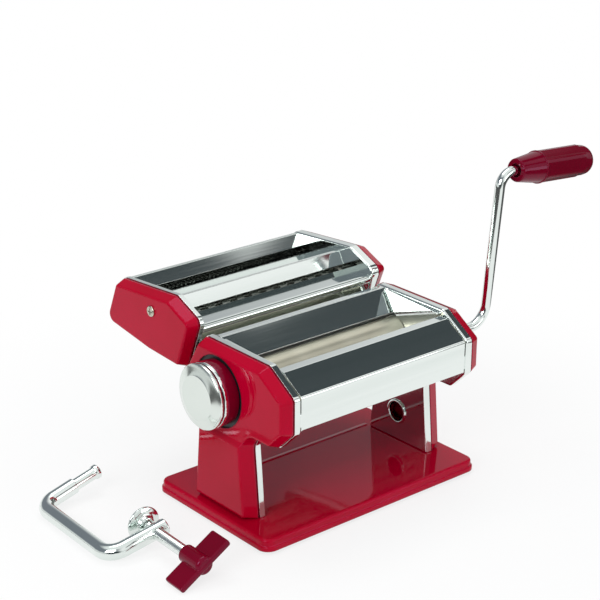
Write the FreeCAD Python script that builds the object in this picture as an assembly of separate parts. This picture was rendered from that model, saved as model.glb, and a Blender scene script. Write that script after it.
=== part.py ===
import FreeCAD, Part
import math
import os
from FreeCAD import Vector

# Hand-cranked pasta machine with a clip-on noodle cutter and its loose table clamp, in millimetres.
# X runs along the rollers towards the crank, the front cover faces -Y, and Z is up.
# The origin is on the table under the centre of the base.

# Clearances
RUN_FIT = 0.06
SLIDE_FIT = 0.15
EASY_FIT = 0.3
HOLE_EASE = 0.2

# Pressed base pan
BASE_OVERHANG = 7.4
BASE_WIDTH = 130.5
BASE_CORNER_R = 9.0
BASE_TOP_Z = 11.5
BASE_SKIRT_Z = 2.6
BASE_STEP_Z = 6.4
BASE_STEP_INSET = 1.2
BASE_SHEET = 1.2
BASE_EDGE_R = 2.2
BEAD_Y = 34.0
BEAD_FRONT = 1.2
BEAD_BACK = 3.8
BEAD_HEIGHT = 0.75
FOOT_R = 8.0
FOOT_INSET = 15.0
FOOT_EDGE_R = 1.2

# Side plates, bent from sheet with a flange all round that turns away from the rollers
BAY_HALF = 80.0
PLATE_SHEET = 1.5
FLANGE = 5.5
PLATE_BEND_R = 1.4
HEAD_TOP_Z = 135.5
HEAD_BOTTOM_Z = 76.5
HEAD_BACK_Y = 25.8
HEAD_LIP_Y = -46.5
HEAD_FRONT_Y = -72.8
HEAD_CHEEK_Z = 118.5
HEAD_CHIN_Z = 92.0
HEAD_CHIN_Y = -57.0
HEAD_REAR_Y = 45.5
HEAD_REAR_TOP_Z = 103.0
HEAD_REAR_LOW_Z = 93.0
LEG_TOP_FRONT_Y = -28.5
LEG_TOP_BACK_Y = 26.0
LEG_FOOT_FRONT_Y = -34.5
LEG_FOOT_BACK_Y = 31.0
LEG_REAR_NECK_Z = 70.0
NECK_R = 11.0
HEAD_CORNER_R = 4.0

# End covers, pressed red shells
COVER_SHEET = 1.2
COVER_GAP = 1.2
COVER_DEPTH = 10.0
COVER_DRAFT = 3.4
COVER_EDGE_R = 1.6
COVER_NEST = 1.8
FOOT_DRAFT = 1.6
LEG_SHELF = 2.1
LEG_SHELF_TOP_Z = 72.0
LEG_SHELF_DROP = 4.0
BOSS_R = 4.0
COVER_SCREW_R = 1.75
COVER_BOSSES = ((-60.0, 90.0), (31.0, 88.0))

# Smooth rollers
ROLLER_R = 13.9
ROLLER_GAP = 0.3
ROLLER_END_PLAY = 0.3
ROLLER_AXIS_Z = 102.5
REAR_ROLLER_Y = 0.0
JOURNAL_R = 6.0
BUSH_WALL = 3.0
BUSH_FLANGE_R = 11.0
BUSH_FLANGE = 1.9
ROLLER_TEETH = 20
ROLLER_TOOTH_ADD = 1.75
ROLLER_TOOTH_DED = 2.05
ROLLER_GEAR_WIDTH = 5.0
TOOTH_SHARE = 0.20
GEAR_STAND_OFF = 2.0

# Thickness adjuster on the left end
CAM_THROW = 0.9
CAM_PIN_R = 2.4
CAM_PIN_LENGTH = 2.0
CARRIAGE_HUB_R = 9.5
CARRIAGE_HUB_LENGTH = 5.2
CARRIAGE_BAR_Y = 17.0
CARRIAGE_BAR_Z = 87.0
CARRIAGE_BAR_R = 2.5
CARRIAGE_ARM = 11.0
CARRIAGE_FOOT = 5.0
KNOB_SHAFT_R = 5.0
KNOB_FLANGE_R = 9.0
KNOB_FLANGE = 1.8
KNOB_R = 24.4
KNOB_COLLAR = 10.4
KNOB_WELL_GAP = 2.8
KNOB_WELL_DEPTH = 3.0
KNOB_RING = 3.0
KNOB_RING_PROUD = 0.4
KNOB_GROOVE = 1.1
KNOB_GROOVE_DEPTH = 1.4
KNOB_CAP = 2.9
KNOB_CAP_DOME = 2.8
KNOB_CAP_CONE = 7.1
KNOB_WEB = 3.0
KNOB_SHAFT_FLAT = 1.0
STOP_PIN_DEPTH = 2.4
RETAINER = 1.4
CAP_SKIN = 1.2
KNOB_CAVITY_R = 12.0
INDEX_PLATE = 1.4
INDEX_RIM = 1.7
STOP_PIN_R = 1.5
STOP_PIN_INSET = 7.4

# Front cover, hopper, guides, scrapers and tie rods
PANEL_SHEET = 1.0
PANEL_RECESS = 0.9
PANEL_BEND_R = 2.6
PANEL_HEM = 6.0
FRONT_LIP_Y = -52.5
FRONT_LIP = 8.0
FRONT_LIP_DROP = 7.0
HOPPER_TOP_Y = 17.5
HOPPER_TOP_Z = 135.0
HOPPER_LOW_Y = 5.0
HOPPER_LOW_Z = 118.5
HOPPER_LIP = 5.4
HOPPER_LIP_DROP = 4.0
GUIDE_WIDTH = 5.0
GUIDE_LEAN = 3.0
SCRAPER_SHEET = 1.2
SCRAPER_RUN = 6.0
SCRAPER_DROP = 8.0
TIE_ROD_R = 4.0
TIE_RODS = ((-62.0, 106.0), (31.0, 112.0), (36.0, 97.0))
HANGER_ROD = 1
NUT_R = 5.6
NUT_HEIGHT = 3.0
FOOT_SCREW_R = 1.25
FOOT_SCREW_HEAD_R = 2.6
FOOT_NUT_R = 2.2

# Clamp sockets in the legs
SOCKET_Y = -0.3
SOCKET_Z = 35.8
SOCKET_BORE_R = 7.5
SOCKET_WALL = 1.2
SOCKET_FLANGE_R = 10.0
SOCKET_FLANGE = 1.3
SOCKET_LENGTH = 12.0

# Crank, bent from round rod, with a turning grip
CRANK_ROD_R = 3.9
CRANK_STAND_OFF = 48.9
CRANK_FLAT = 1.0
CRANK_SOCKET = 29.0
CRANK_ARM = 121.8
CRANK_LEAN = 4.3
CRANK_TILT = 1.4
CRANK_LOWER_BEND_R = 17.0
CRANK_UPPER_BEND_R = 12.0
GRIP_START = 15.6
GRIP_LENGTH = 80.6
GRIP_SMALL_R = 9.2
GRIP_RING_R = 13.0
GRIP_BODY_R = 12.9
GRIP_RING_AT = 22.6
GRIP_RING = 1.2
GRIP_NOSE = 12.4
GRIP_DOME = 7.8
GRIP_NOSE_STEP = 0.9
GRIP_END_R = 6.4
GRIP_FLUTES = 6
GRIP_FLUTE_R = 40.0
GRIP_FLUTE_DEPTH = 1.4
GRIP_FLUTE_TURN = 27.0
GRIP_MOUTH_R = 5.5
GRIP_MOUTH = 4.0
SPINDLE_HEAD_R = 5.0
SPINDLE_HEAD = 2.0

# Noodle cutter
CUTTER_OVERHANG = 1.5
CUTTER_SHEET = 1.2
CUTTER_FLANGE = 4.0
CUTTER_GEAR_FLANGE = 7.0
CUTTER_OUTLINE = (
    (129.0, 150.5, 6.0), (60.0, 156.0, 8.0), (31.5, 143.5, 7.0), (47.5, 102.5, 6.0), (86.0, 104.5, 20.0),
    (144.5, 113.0, 10.0))
CUTTER_CAP_DEPTH = 9.8
CUT_ROLLER_Z = 126.0
CUT_ROLLER_R = 11.0
CUT_GROOVE = 2.6
CUT_JOURNAL_R = 5.5
CUT_BUSH_WALL = 1.5
CUT_BUSH_FLANGE_R = 8.6
CUT_BUSH_FLANGE = 1.2
CUT_GROOVE_GAP = 0.25
CUT_SIDE_GAP = 0.2
WIDE_NIP_Y = 64.0
WIDE_PITCH = 14.0
NARROW_NIP_Y = 113.6
NARROW_PITCH = 4.0
CUT_TEETH = 16
CUT_TOOTH_ADD = 1.0
CUT_TOOTH_DED = 1.35
CUT_GEAR_WIDTH = 3.5
SLOT_EDGE_Z = 139.0
ROOF_CREST = (73.0, 150.0)
REAR_CREST = 11.2
REAR_TAIL_IN = 6.5
REAR_TAIL_RISE = 10.0
RAIL_R = 3.6
RAIL_Y = 38.6
RAIL_Z = 135.3
RAIL_SKIRT = 6.2
CAP_SCREW_Y = 80.3
CAP_SCREW_Z = 139.6
CAP_SCREW_R = 2.0
CAP_SCREW_HEAD_R = 4.2
CAP_SCREW_HEAD = 1.6
CAP_BOSS_R = 3.6
COMB_BAR = 1.6
CUTTER_RODS = ((49.0, 110.5), (88.5, 116.0))
CUTTER_ROD_R = 3.0
HANGER_SHEET = 2.0
HANGER_WALL = 2.2

# Loose table clamp in its own frame: the back runs along Y from the low corner, the arms towards +X
CLAMP_ROD_R = 6.0
CLAMP_BACK = 93.0
CLAMP_BEND_R = 12.5
CLAMP_LOW_ARM = 47.0
CLAMP_LOW_FLARE = 3.2
CLAMP_HIGH_FLARE = 5.0
CLAMP_SHOULDER = 30.2
CLAMP_PIN = 53.1
CLAMP_PIN_R = 4.6
CLAMP_TIP_R = 5.6
CLAMP_TIP = 5.0
CLAMP_SCREW_AT = 37.6
CLAMP_SCREW_R = 4.5
CLAMP_THREAD_PITCH = 1.25
CLAMP_THREAD_DEPTH = 0.45
CLAMP_PAD_Y = 13.5
CLAMP_PAD_R = 12.9
CLAMP_PAD = 4.0
CLAMP_PAD_BOSS = 2.2
CLAMP_PAD_BOSS_R = 6.8
CLAMP_HUB_Y = -40.4
CLAMP_HUB_R = 6.6
CLAMP_HUB_END_R = 7.2
CLAMP_HUB = 24.0
HUB_DOME_R = 3.0
HUB_SOCKET = 14.0
WING_HALF_SPAN = 23.7
WING_AT = 14.6
WING_LENGTH = 20.0
WING_THICK = 4.5
WING_ANGLE = 19.0

# How the clamp lies on the table beside the machine
CLAMP_X = -194.0
CLAMP_Y = -1.9
CLAMP_TILT = 12.5
CLAMP_YAW = 2.0

# Sizes worked out from the ones above
PLATE_OUT = BAY_HALF + FLANGE
COVER_RIM = PLATE_OUT + COVER_GAP
COVER_FACE = PLATE_OUT + COVER_DEPTH
BASE_LENGTH = 2 * (COVER_FACE + LEG_SHELF + BASE_OVERHANG)
SHEET_WIDTH = 2 * (BAY_HALF - GUIDE_WIDTH)
CRANK_REACH = COVER_FACE + CRANK_STAND_OFF
ROLLER_END = BAY_HALF - BUSH_FLANGE - ROLLER_END_PLAY
ROLLER_MOUTH_X = COVER_FACE - COVER_SHEET - 0.8
ROLLER_SPACING = 2 * ROLLER_R + ROLLER_GAP
FRONT_ROLLER_Y = REAR_ROLLER_Y - ROLLER_SPACING
KNOB_Y = REAR_ROLLER_Y + CAM_THROW
KNOB_WELL_R = KNOB_R + KNOB_WELL_GAP
KNOB_CAP_FLAT_R = KNOB_R - KNOB_CAP_CONE
STOP_PIN_RADIUS = KNOB_R - STOP_PIN_INSET
SLIDE_TRAVEL = 2 * CAM_THROW
GEAR_IN = BAY_HALF + PLATE_SHEET + GEAR_STAND_OFF
GEAR_OUT = GEAR_IN + ROLLER_GEAR_WIDTH
CUT_SPACING = 2 * CUT_ROLLER_R - CUT_GROOVE + CUT_GROOVE_GAP
CUTTER_HALF = BAY_HALF + CUTTER_OVERHANG
CUT_END = CUTTER_HALF - CUT_BUSH_FLANGE - ROLLER_END_PLAY
CUT_GEAR_IN = CUTTER_HALF + CUTTER_SHEET + GEAR_STAND_OFF
CUT_MOUTH_X = CUTTER_HALF + CUTTER_GEAR_FLANGE + CUTTER_CAP_DEPTH - COVER_SHEET - 0.8

HEAD_OUTLINE = (
    (HEAD_BACK_Y, HEAD_TOP_Z, HEAD_CORNER_R),
    (HEAD_LIP_Y, HEAD_TOP_Z, HEAD_CORNER_R + 1),
    (HEAD_FRONT_Y, HEAD_CHEEK_Z, HEAD_CORNER_R + 1),
    (HEAD_FRONT_Y, HEAD_CHIN_Z, HEAD_CORNER_R),
    (HEAD_CHIN_Y, HEAD_BOTTOM_Z, HEAD_CORNER_R),
    (LEG_TOP_FRONT_Y, HEAD_BOTTOM_Z, NECK_R),
    (LEG_FOOT_FRONT_Y, BASE_TOP_Z, 1.0),
    (LEG_FOOT_BACK_Y, BASE_TOP_Z, 1.0),
    (LEG_TOP_BACK_Y, LEG_REAR_NECK_Z, NECK_R),
    (HEAD_REAR_Y, HEAD_REAR_LOW_Z, HEAD_CORNER_R),
    (HEAD_REAR_Y, HEAD_REAR_TOP_Z, HEAD_CORNER_R + 1))


def unit(a, b):
    length = math.hypot(b[0] - a[0], b[1] - a[1])
    return (b[0] - a[0]) / length, (b[1] - a[1]) / length


def inset(corners, depth, least_r=0.3):
    """The same outline drawn in by depth on every side; corners run anticlockwise as (y, z, radius)."""
    count = len(corners)
    result = []
    for i in range(count):
        before, here, after = corners[i - 1], corners[i], corners[(i + 1) % count]
        t1, t2 = unit(before, here), unit(here, after)
        n1, n2 = (-t1[1], t1[0]), (-t2[1], t2[0])
        reach = depth / (1 + n1[0] * n2[0] + n1[1] * n2[1])
        turn = t1[0] * t2[1] - t1[1] * t2[0]
        radius = here[2] - depth if turn > 0 else here[2] + depth
        moved = (here[0] + (n1[0] + n2[0]) * reach, here[1] + (n1[1] + n2[1]) * reach)
        result.append((*moved, max(radius, least_r)))
    return result


def at_x(y, z, x):
    return Vector(x, y, z)


def rounded_wire(corners, place):
    """A closed wire of straight runs and corner arcs; place turns (u, v) into a point in space."""
    count = len(corners)
    edges = []
    joints = []
    for i in range(count):
        before, here, after = corners[i - 1], corners[i], corners[(i + 1) % count]
        t1, t2 = unit(before, here), unit(here, after)
        cross = t1[0] * t2[1] - t1[1] * t2[0]
        turn = math.atan2(cross, t1[0] * t2[0] + t1[1] * t2[1])
        run = here[2] * math.tan(abs(turn) / 2)
        side = 1 if turn > 0 else -1
        start = (here[0] - t1[0] * run, here[1] - t1[1] * run)
        end = (here[0] + t2[0] * run, here[1] + t2[1] * run)
        centre = (start[0] - t1[1] * side * here[2], start[1] + t1[0] * side * here[2])
        out = unit(centre, here)
        middle = (centre[0] + out[0] * here[2], centre[1] + out[1] * here[2])
        joints.append((start, middle, end))
    for i in range(count):
        start, middle, end = joints[i]
        edges.append(Part.Arc(place(*start), place(*middle), place(*end)).toShape())
        following = joints[(i + 1) % count][0]
        if math.hypot(following[0] - end[0], following[1] - end[1]) > 1e-6:
            edges.append(Part.LineSegment(place(*end), place(*following)).toShape())
    return Part.Wire(edges)


def end_slab(corners, x0, x1):
    """A solid with an outline in the YZ plane, from x0 to x1."""
    wire = rounded_wire(corners, lambda y, z: Vector(x0, y, z))
    return Part.Face(wire).extrude(Vector(x1 - x0, 0, 0))


def flat_slab(corners, z0, z1):
    wire = rounded_wire(corners, lambda x, y: Vector(x, y, z0))
    return Part.Face(wire).extrude(Vector(0, 0, z1 - z0))


def sheet_strip(path, thick, x0, x1):
    """Bent sheet: path is an open line of (y, z, bend radius) on one face, the metal lies on its left."""
    near, far = [], []
    for i, here in enumerate(path):
        is_end = i in (0, len(path) - 1)
        t1 = unit(path[i - 1], here) if i else unit(here, path[1])
        t2 = unit(here, path[i + 1]) if i + 1 < len(path) else t1
        n1, n2 = (-t1[1], t1[0]), (-t2[1], t2[0])
        reach = thick / (1 + n1[0] * n2[0] + n1[1] * n2[1])
        turn = t1[0] * t2[1] - t1[1] * t2[0]
        radius = here[2]
        bent = radius - thick if turn > 0 else radius + thick
        other = radius if is_end else bent
        near.append((here[0], here[1], max(radius, 0.05)))
        far.append((here[0] + (n1[0] + n2[0]) * reach, here[1] + (n1[1] + n2[1]) * reach, max(other, 0.05)))
    return end_slab(near + far[::-1], x0, x1)


def box(x0, x1, y0, y1, z0, z1):
    return Part.makeBox(x1 - x0, y1 - y0, z1 - z0, Vector(x0, y0, z0))


def rod_x(y, z, radius, x0, x1):
    return Part.makeCylinder(radius, abs(x1 - x0), Vector(min(x0, x1), y, z), Vector(1, 0, 0))


def disc_z(x, y, radius, z0, z1):
    return Part.makeCylinder(radius, z1 - z0, Vector(x, y, z0), Vector(0, 0, 1))


def hexagon_x(y, z, radius, x0, x1):
    points = [Vector(x0, y + radius * math.cos(i * math.pi / 3), z + radius * math.sin(i * math.pi / 3))
              for i in range(7)]
    return Part.Face(Part.makePolygon(points)).extrude(Vector(x1 - x0, 0, 0))


def mirrored(shape):
    return shape.mirror(Vector(0, 0, 0), Vector(1, 0, 0))


def fuse(shapes):
    first = shapes[0]
    return first.multiFuse(list(shapes[1:])).removeSplitter() if len(shapes) > 1 else first


def flatted_rod_x(y, z, radius, flat, x0, x1):
    """A rod along X with a flat on top."""
    rod = rod_x(y, z, radius, x0, x1)
    return rod.common(box(x0, x1, y - 2 * radius, y + 2 * radius, z - 2 * radius, z + radius - flat))


def slot_x(y, z, radius, run, x0, x1):
    """A slot that lets a round hub slide by run along +Y."""
    return fuse([rod_x(y, z, radius, x0, x1), rod_x(y + run, z, radius, x0, x1),
                 box(min(x0, x1), max(x0, x1), y, y + run, z - radius, z + radius)])


def revolve_x(profile, y, z):
    """Turned part: profile is a list of (x, r) along the axis at (y, z)."""
    points = [Vector(x, y, z + r) for x, r in profile]
    face = Part.Face(Part.makePolygon(points + [points[0]]))
    return face.revolve(Vector(0, y, z), Vector(1, 0, 0), 360)


def gear(teeth, pitch_r, addendum, dedendum, y, z, x0, x1, half_step):
    """A spur gear with straight-flanked teeth, its first tooth or gap on the +Y side."""
    step = 2 * math.pi / teeth
    shift = step / 2 if half_step else 0.0
    points = []
    for i in range(teeth):
        a = i * step + shift
        for share, radius in ((-0.33, pitch_r - dedendum), (-TOOTH_SHARE, pitch_r), (-0.10, pitch_r + addendum),
                              (0.10, pitch_r + addendum), (TOOTH_SHARE, pitch_r), (0.33, pitch_r - dedendum)):
            angle = a + share * step
            points.append(Vector(x0, y + radius * math.cos(angle), z + radius * math.sin(angle)))
    return Part.Face(Part.makePolygon(points + [points[0]])).extrude(Vector(x1 - x0, 0, 0))


def edges_where(shape, test):
    return [edge for edge in shape.Edges if test(edge)]


def at_level(edge, axis, value):
    box_ = edge.BoundBox
    low, high = (box_.XMin, box_.XMax) if axis == "x" else (box_.ZMin, box_.ZMax)
    return abs(low - value) < 1e-4 and abs(high - value) < 1e-4


def rounded_rectangle(half_x, half_y, radius):
    return ((-half_x, -half_y, radius), (half_x, -half_y, radius), (half_x, half_y, radius),
            (-half_x, half_y, radius))


def tab_screw_places():
    inset_y = 9.0
    x = BAY_HALF + PLATE_SHEET + FOOT_NUT_R - 0.15
    return [(side * x, y) for side in (-1, 1) for y in (LEG_FOOT_FRONT_Y + inset_y, LEG_FOOT_BACK_Y - inset_y)]


def base_plate():
    half_x, half_y = BASE_LENGTH / 2, BASE_WIDTH / 2
    low = rounded_rectangle(half_x, half_y, BASE_CORNER_R)
    high = inset(low, BASE_STEP_INSET)
    body = flat_slab(low, BASE_SKIRT_Z, BASE_STEP_Z).fuse(flat_slab(high, BASE_STEP_Z - 1, BASE_TOP_Z))
    body = body.removeSplitter()
    body = body.makeFillet(BASE_EDGE_R, edges_where(body, lambda e: at_level(e, "z", BASE_TOP_Z)))
    step = edges_where(body, lambda e: at_level(e, "z", BASE_STEP_Z) and max(
        abs(e.BoundBox.XMax), abs(e.BoundBox.YMax), abs(e.BoundBox.XMin), abs(e.BoundBox.YMin)) > 0)
    outer = [e for e in step if abs(e.BoundBox.XMax) > half_x - 0.5 or abs(e.BoundBox.XMin) > half_x - 0.5
             or abs(e.BoundBox.YMax) > half_y - 0.5 or abs(e.BoundBox.YMin) > half_y - 0.5]
    body = body.makeFillet(BASE_EDGE_R / 2, outer)
    hollow = flat_slab(inset(low, BASE_SHEET), BASE_SKIRT_Z - 1, BASE_STEP_Z - BASE_SHEET)
    hollow = hollow.fuse(flat_slab(inset(high, BASE_SHEET), BASE_SKIRT_Z - 1, BASE_TOP_Z - BASE_SHEET))
    root = BASE_TOP_Z - BASE_SHEET / 2
    section = ((BEAD_Y - BEAD_FRONT, root), (BEAD_Y - BEAD_FRONT, BASE_TOP_Z), (BEAD_Y, BASE_TOP_Z + BEAD_HEIGHT),
               (BEAD_Y + BEAD_BACK, BASE_TOP_Z), (BEAD_Y + BEAD_BACK, root))
    corners = [Vector(-BAY_HALF, y, z) for y, z in section]
    bead = Part.Face(Part.makePolygon(corners + corners[:1])).extrude(Vector(2 * BAY_HALF, 0, 0))
    bead = bead.makeFillet(0.6, edges_where(bead, lambda e: at_level(e, "z", BASE_TOP_Z + BEAD_HEIGHT)))
    body = body.cut(hollow).fuse(bead).removeSplitter()
    for x, y in tab_screw_places():
        body = body.cut(disc_z(x, y, FOOT_SCREW_R + HOLE_EASE, 0, BASE_TOP_Z + 1))
    return body


def rubber_feet():
    feet = []
    for x in (-BASE_LENGTH / 2 + FOOT_INSET, BASE_LENGTH / 2 - FOOT_INSET):
        for y in (-BASE_WIDTH / 2 + FOOT_INSET, BASE_WIDTH / 2 - FOOT_INSET):
            foot = disc_z(x, y, FOOT_R, 0, BASE_TOP_Z - BASE_SHEET)
            feet.append(foot.makeFillet(FOOT_EDGE_R, edges_where(foot, lambda e: at_level(e, "z", 0))))
    return Part.makeCompound(feet)


def base_screws():
    shapes = []
    for x, y in tab_screw_places():
        under = BASE_TOP_Z - BASE_SHEET
        head = disc_z(x, y, FOOT_SCREW_HEAD_R, under - 1.8, under)
        shapes.append(head.fuse(disc_z(x, y, FOOT_SCREW_R, under, BASE_TOP_Z + PLATE_SHEET + 2.8)))
    return Part.makeCompound(shapes)


def base_nuts():
    shapes = []
    for x, y in tab_screw_places():
        bottom = BASE_TOP_Z + PLATE_SHEET
        points = [Vector(x + FOOT_NUT_R * math.cos(i * math.pi / 3 + math.pi / 6),
                         y + FOOT_NUT_R * math.sin(i * math.pi / 3 + math.pi / 6), bottom) for i in range(7)]
        nut = Part.Face(Part.makePolygon(points)).extrude(Vector(0, 0, 2.2))
        shapes.append(nut.cut(disc_z(x, y, FOOT_SCREW_R, bottom - 1, bottom + 4)))
    return Part.makeCompound(shapes)


def right_side_plate():
    outer = end_slab(HEAD_OUTLINE, BAY_HALF, PLATE_OUT)
    outer = outer.makeFillet(PLATE_BEND_R, edges_where(outer, lambda e: at_level(e, "x", BAY_HALF)))
    inner = end_slab(inset(HEAD_OUTLINE, PLATE_SHEET), BAY_HALF + PLATE_SHEET, PLATE_OUT + 1)
    plate = outer.cut(inner)
    x0, x1 = BAY_HALF - 1, PLATE_OUT + 1
    cuts = [rod_x(FRONT_ROLLER_Y, ROLLER_AXIS_Z, JOURNAL_R + BUSH_WALL, x0, x1),
            slot_x(REAR_ROLLER_Y, ROLLER_AXIS_Z, CARRIAGE_HUB_R + SLIDE_FIT, SLIDE_TRAVEL, x0, x1),
            rod_x(SOCKET_Y, SOCKET_Z, SOCKET_BORE_R + SOCKET_WALL, x0, x1)]
    cuts += [rod_x(y, z, TIE_ROD_R - 1, x0, x1) for y, z in TIE_RODS]
    cuts += [rod_x(y, z, COVER_SCREW_R + HOLE_EASE, x0, x1) for y, z in COVER_BOSSES]
    for cut in cuts:
        plate = plate.cut(cut)
    for x, y in tab_screw_places():
        if x > 0:
            hole = disc_z(x, y, FOOT_SCREW_R + HOLE_EASE, BASE_TOP_Z - 1, BASE_TOP_Z + PLATE_SHEET + 1)
            plate = plate.cut(hole)
    return plate


def shell_loft(outline, face_outline, rim_x, face_x, draft, rim_inset):
    """A form that narrows from the rim's outline to the face's outline."""
    face_corners = inset(face_outline, rim_inset + draft, COVER_EDGE_R + 0.6)
    low = rounded_wire(inset(outline, rim_inset), lambda y, z: Vector(rim_x, y, z))
    high = rounded_wire(face_corners, lambda y, z: Vector(face_x, y, z))
    return Part.makeLoft([low, high], True, True)


def outline_with_foot(foot_z):
    """The head and leg outline with the foot moved to foot_z along the leg's own sides."""
    corners = list(HEAD_OUTLINE)
    for foot, top in ((6, 5), (7, 8)):
        (y0, z0, radius), (y1, z1, _) = corners[foot], corners[top]
        corners[foot] = (y0 + (y1 - y0) * (foot_z - z0) / (z1 - z0), foot_z, radius)
    return corners


def cover_form(rim_inset, sheet_in):
    """The end cover's outer form, or with sheet_in the hollow inside it: the leg stands proud of the head."""
    face = COVER_FACE - sheet_in
    leg_face = face + LEG_SHELF
    draft = COVER_DRAFT * (leg_face - COVER_RIM) / (COVER_FACE - COVER_RIM)
    face_outline = outline_with_foot(BASE_TOP_Z - draft + FOOT_DRAFT)
    form = shell_loft(HEAD_OUTLINE, face_outline, COVER_RIM, leg_face, draft, rim_inset)
    shelf_z = LEG_SHELF_TOP_Z - sheet_in
    slope = LEG_SHELF_DROP / LEG_SHELF
    corners = [(face, shelf_z), (leg_face + 2, shelf_z - slope * (leg_face + 2 - face)), (leg_face + 2, 200),
               (face, 200)]
    points = [Vector(x, -100, z) for x, z in corners]
    above = Part.Face(Part.makePolygon(points + [points[0]])).extrude(Vector(0, 200, 0))
    return form.cut(above)


def right_cover_shell():
    nest_inset = PLATE_SHEET + EASY_FIT
    form = cover_form(0.5, 0)
    rounded = edges_where(form, lambda e: at_level(e, "x", COVER_FACE + LEG_SHELF)
                          or (at_level(e, "x", COVER_FACE) and not at_level(e, "z", LEG_SHELF_TOP_Z)))
    form = form.makeFillet(COVER_EDGE_R, rounded)
    nest = end_slab(inset(HEAD_OUTLINE, nest_inset), COVER_RIM - COVER_NEST, COVER_RIM + 0.6)
    hollow = cover_form(nest_inset + COVER_SHEET, COVER_SHEET)
    hollow_rim = end_slab(inset(HEAD_OUTLINE, nest_inset + COVER_SHEET), COVER_RIM - COVER_NEST - 1, COVER_RIM)
    shell = form.fuse(nest).cut(hollow).cut(hollow_rim)
    for y, z in COVER_BOSSES:
        shell = shell.fuse(rod_x(y, z, BOSS_R, BAY_HALF + PLATE_SHEET, COVER_FACE - COVER_SHEET / 2))
        shell = shell.cut(rod_x(y, z, COVER_SCREW_R, BAY_HALF, COVER_FACE - 2 * COVER_SHEET))
    for x, y in tab_screw_places():
        shell = shell.cut(disc_z(x, y, FOOT_NUT_R + 1.0, BASE_TOP_Z, BASE_TOP_Z + 6.0)) if x > 0 else shell
    return shell


def cover_screws():
    shapes = []
    for y, z in COVER_BOSSES:
        head = rod_x(y, z, 3.2, BAY_HALF - 1.8, BAY_HALF)
        shank = rod_x(y, z, COVER_SCREW_R, BAY_HALF, COVER_FACE - 3 * COVER_SHEET)
        shapes.append(head.fuse(shank))
    return Part.makeCompound(shapes + [mirrored(s) for s in shapes])


def front_cover():
    """Front face, rounded bend and slanted top with its lip, bent from one sheet."""
    drop = unit((HEAD_FRONT_Y, HEAD_CHEEK_Z), (HEAD_LIP_Y, HEAD_TOP_Z))
    face_y = HEAD_FRONT_Y + PANEL_RECESS
    cheek_z = HEAD_CHEEK_Z - PANEL_RECESS * 0.6
    lip_z = cheek_z + (FRONT_LIP_Y - face_y) * drop[1] / drop[0]
    low_z = HEAD_CHIN_Z + 0.8
    end_x = BAY_HALF - 1.0
    path = ((face_y + PANEL_HEM, low_z, 0.1), (face_y, low_z, 1.2), (face_y, cheek_z, PANEL_BEND_R),
            (FRONT_LIP_Y, lip_z, 1.2), (FRONT_LIP_Y + FRONT_LIP, lip_z, 1.2),
            (FRONT_LIP_Y + FRONT_LIP + 1.0, lip_z - FRONT_LIP_DROP, 0.1))
    sheet = sheet_strip(path[::-1], PANEL_SHEET, -end_x, end_x)
    tabs = [box(end_x - 0.01, BAY_HALF, face_y + 0.2, face_y + PANEL_HEM, low_z + 3, low_z + 13),
            box(end_x - 0.01, BAY_HALF, FRONT_LIP_Y, FRONT_LIP_Y + FRONT_LIP, lip_z - 5, lip_z - 1.2)]
    strap = box(end_x - 1.0, end_x, face_y + 0.2, face_y + PANEL_HEM, low_z + 0.2, low_z + 13)
    strap_top = box(end_x - 1.0, end_x, FRONT_LIP_Y, FRONT_LIP_Y + FRONT_LIP + 0.3, lip_z - 5, lip_z - 0.2)
    right = [*tabs, strap, strap_top]
    return fuse([sheet] + right + [mirrored(s) for s in right])


def hopper_plate():
    end_x = BAY_HALF - 0.6
    path = ((HOPPER_LOW_Y, HOPPER_LOW_Z, 0.1), (HOPPER_TOP_Y, HOPPER_TOP_Z, 1.2),
            (HOPPER_TOP_Y + HOPPER_LIP, HOPPER_TOP_Z, 1.2),
            (HOPPER_TOP_Y + HOPPER_LIP, HOPPER_TOP_Z - HOPPER_LIP_DROP, 0.1))
    sheet = sheet_strip(path[::-1], PANEL_SHEET, -end_x, end_x)
    slope = unit(path[0], path[1])
    ends = [(HOPPER_TOP_Y - slope[0] * d, HOPPER_TOP_Z - slope[1] * d, 0.1) for d in (5, 13)]
    tab = sheet_strip(ends, PANEL_SHEET, end_x - 1, BAY_HALF)
    return fuse([sheet, tab, mirrored(tab)])


def feed_guides():
    """Bright wedges over the roller ends that keep the dough to its width."""
    clear = ROLLER_R + 0.5
    inner = SHEET_WIDTH / 2
    outline = ((HOPPER_LOW_Y - 2.2, HOPPER_LOW_Z + 1.6, 0.6), (HOPPER_TOP_Y - 3.0, HOPPER_TOP_Z - 0.6, 0.6),
               (HEAD_LIP_Y + 2.0, HEAD_TOP_Z - 3.2, 1.0), (FRONT_ROLLER_Y - 4.0, ROLLER_AXIS_Z + ROLLER_R, 0.6),
               (FRONT_ROLLER_Y + ROLLER_SPACING / 2, ROLLER_AXIS_Z + 4.0, 0.6))
    top = rounded_wire(outline, lambda y, z: Vector(inner, y, z))
    block = Part.Face(top).extrude(Vector(BAY_HALF - inner, 0, 0))
    lean = math.degrees(math.atan2(GUIDE_LEAN, HEAD_TOP_Z - ROLLER_AXIS_Z - 4.0))
    cutter = box(inner - 6 * GUIDE_WIDTH, inner, HEAD_FRONT_Y, -HEAD_FRONT_Y, 0, HEAD_TOP_Z / 2)
    cutter.rotate(Vector(inner, 0, 0), Vector(0, 1, 0), lean)
    cutter.translate(Vector(0, 0, ROLLER_AXIS_Z + 4.0))
    block = block.cut(cutter)
    block = block.cut(rod_x(FRONT_ROLLER_Y, ROLLER_AXIS_Z, clear, inner - 1, BAY_HALF + 1))
    block = block.cut(slot_x(REAR_ROLLER_Y, ROLLER_AXIS_Z, clear, SLIDE_TRAVEL, inner - 1, BAY_HALF + 1))
    return Part.makeCompound([block, mirrored(block)])


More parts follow.
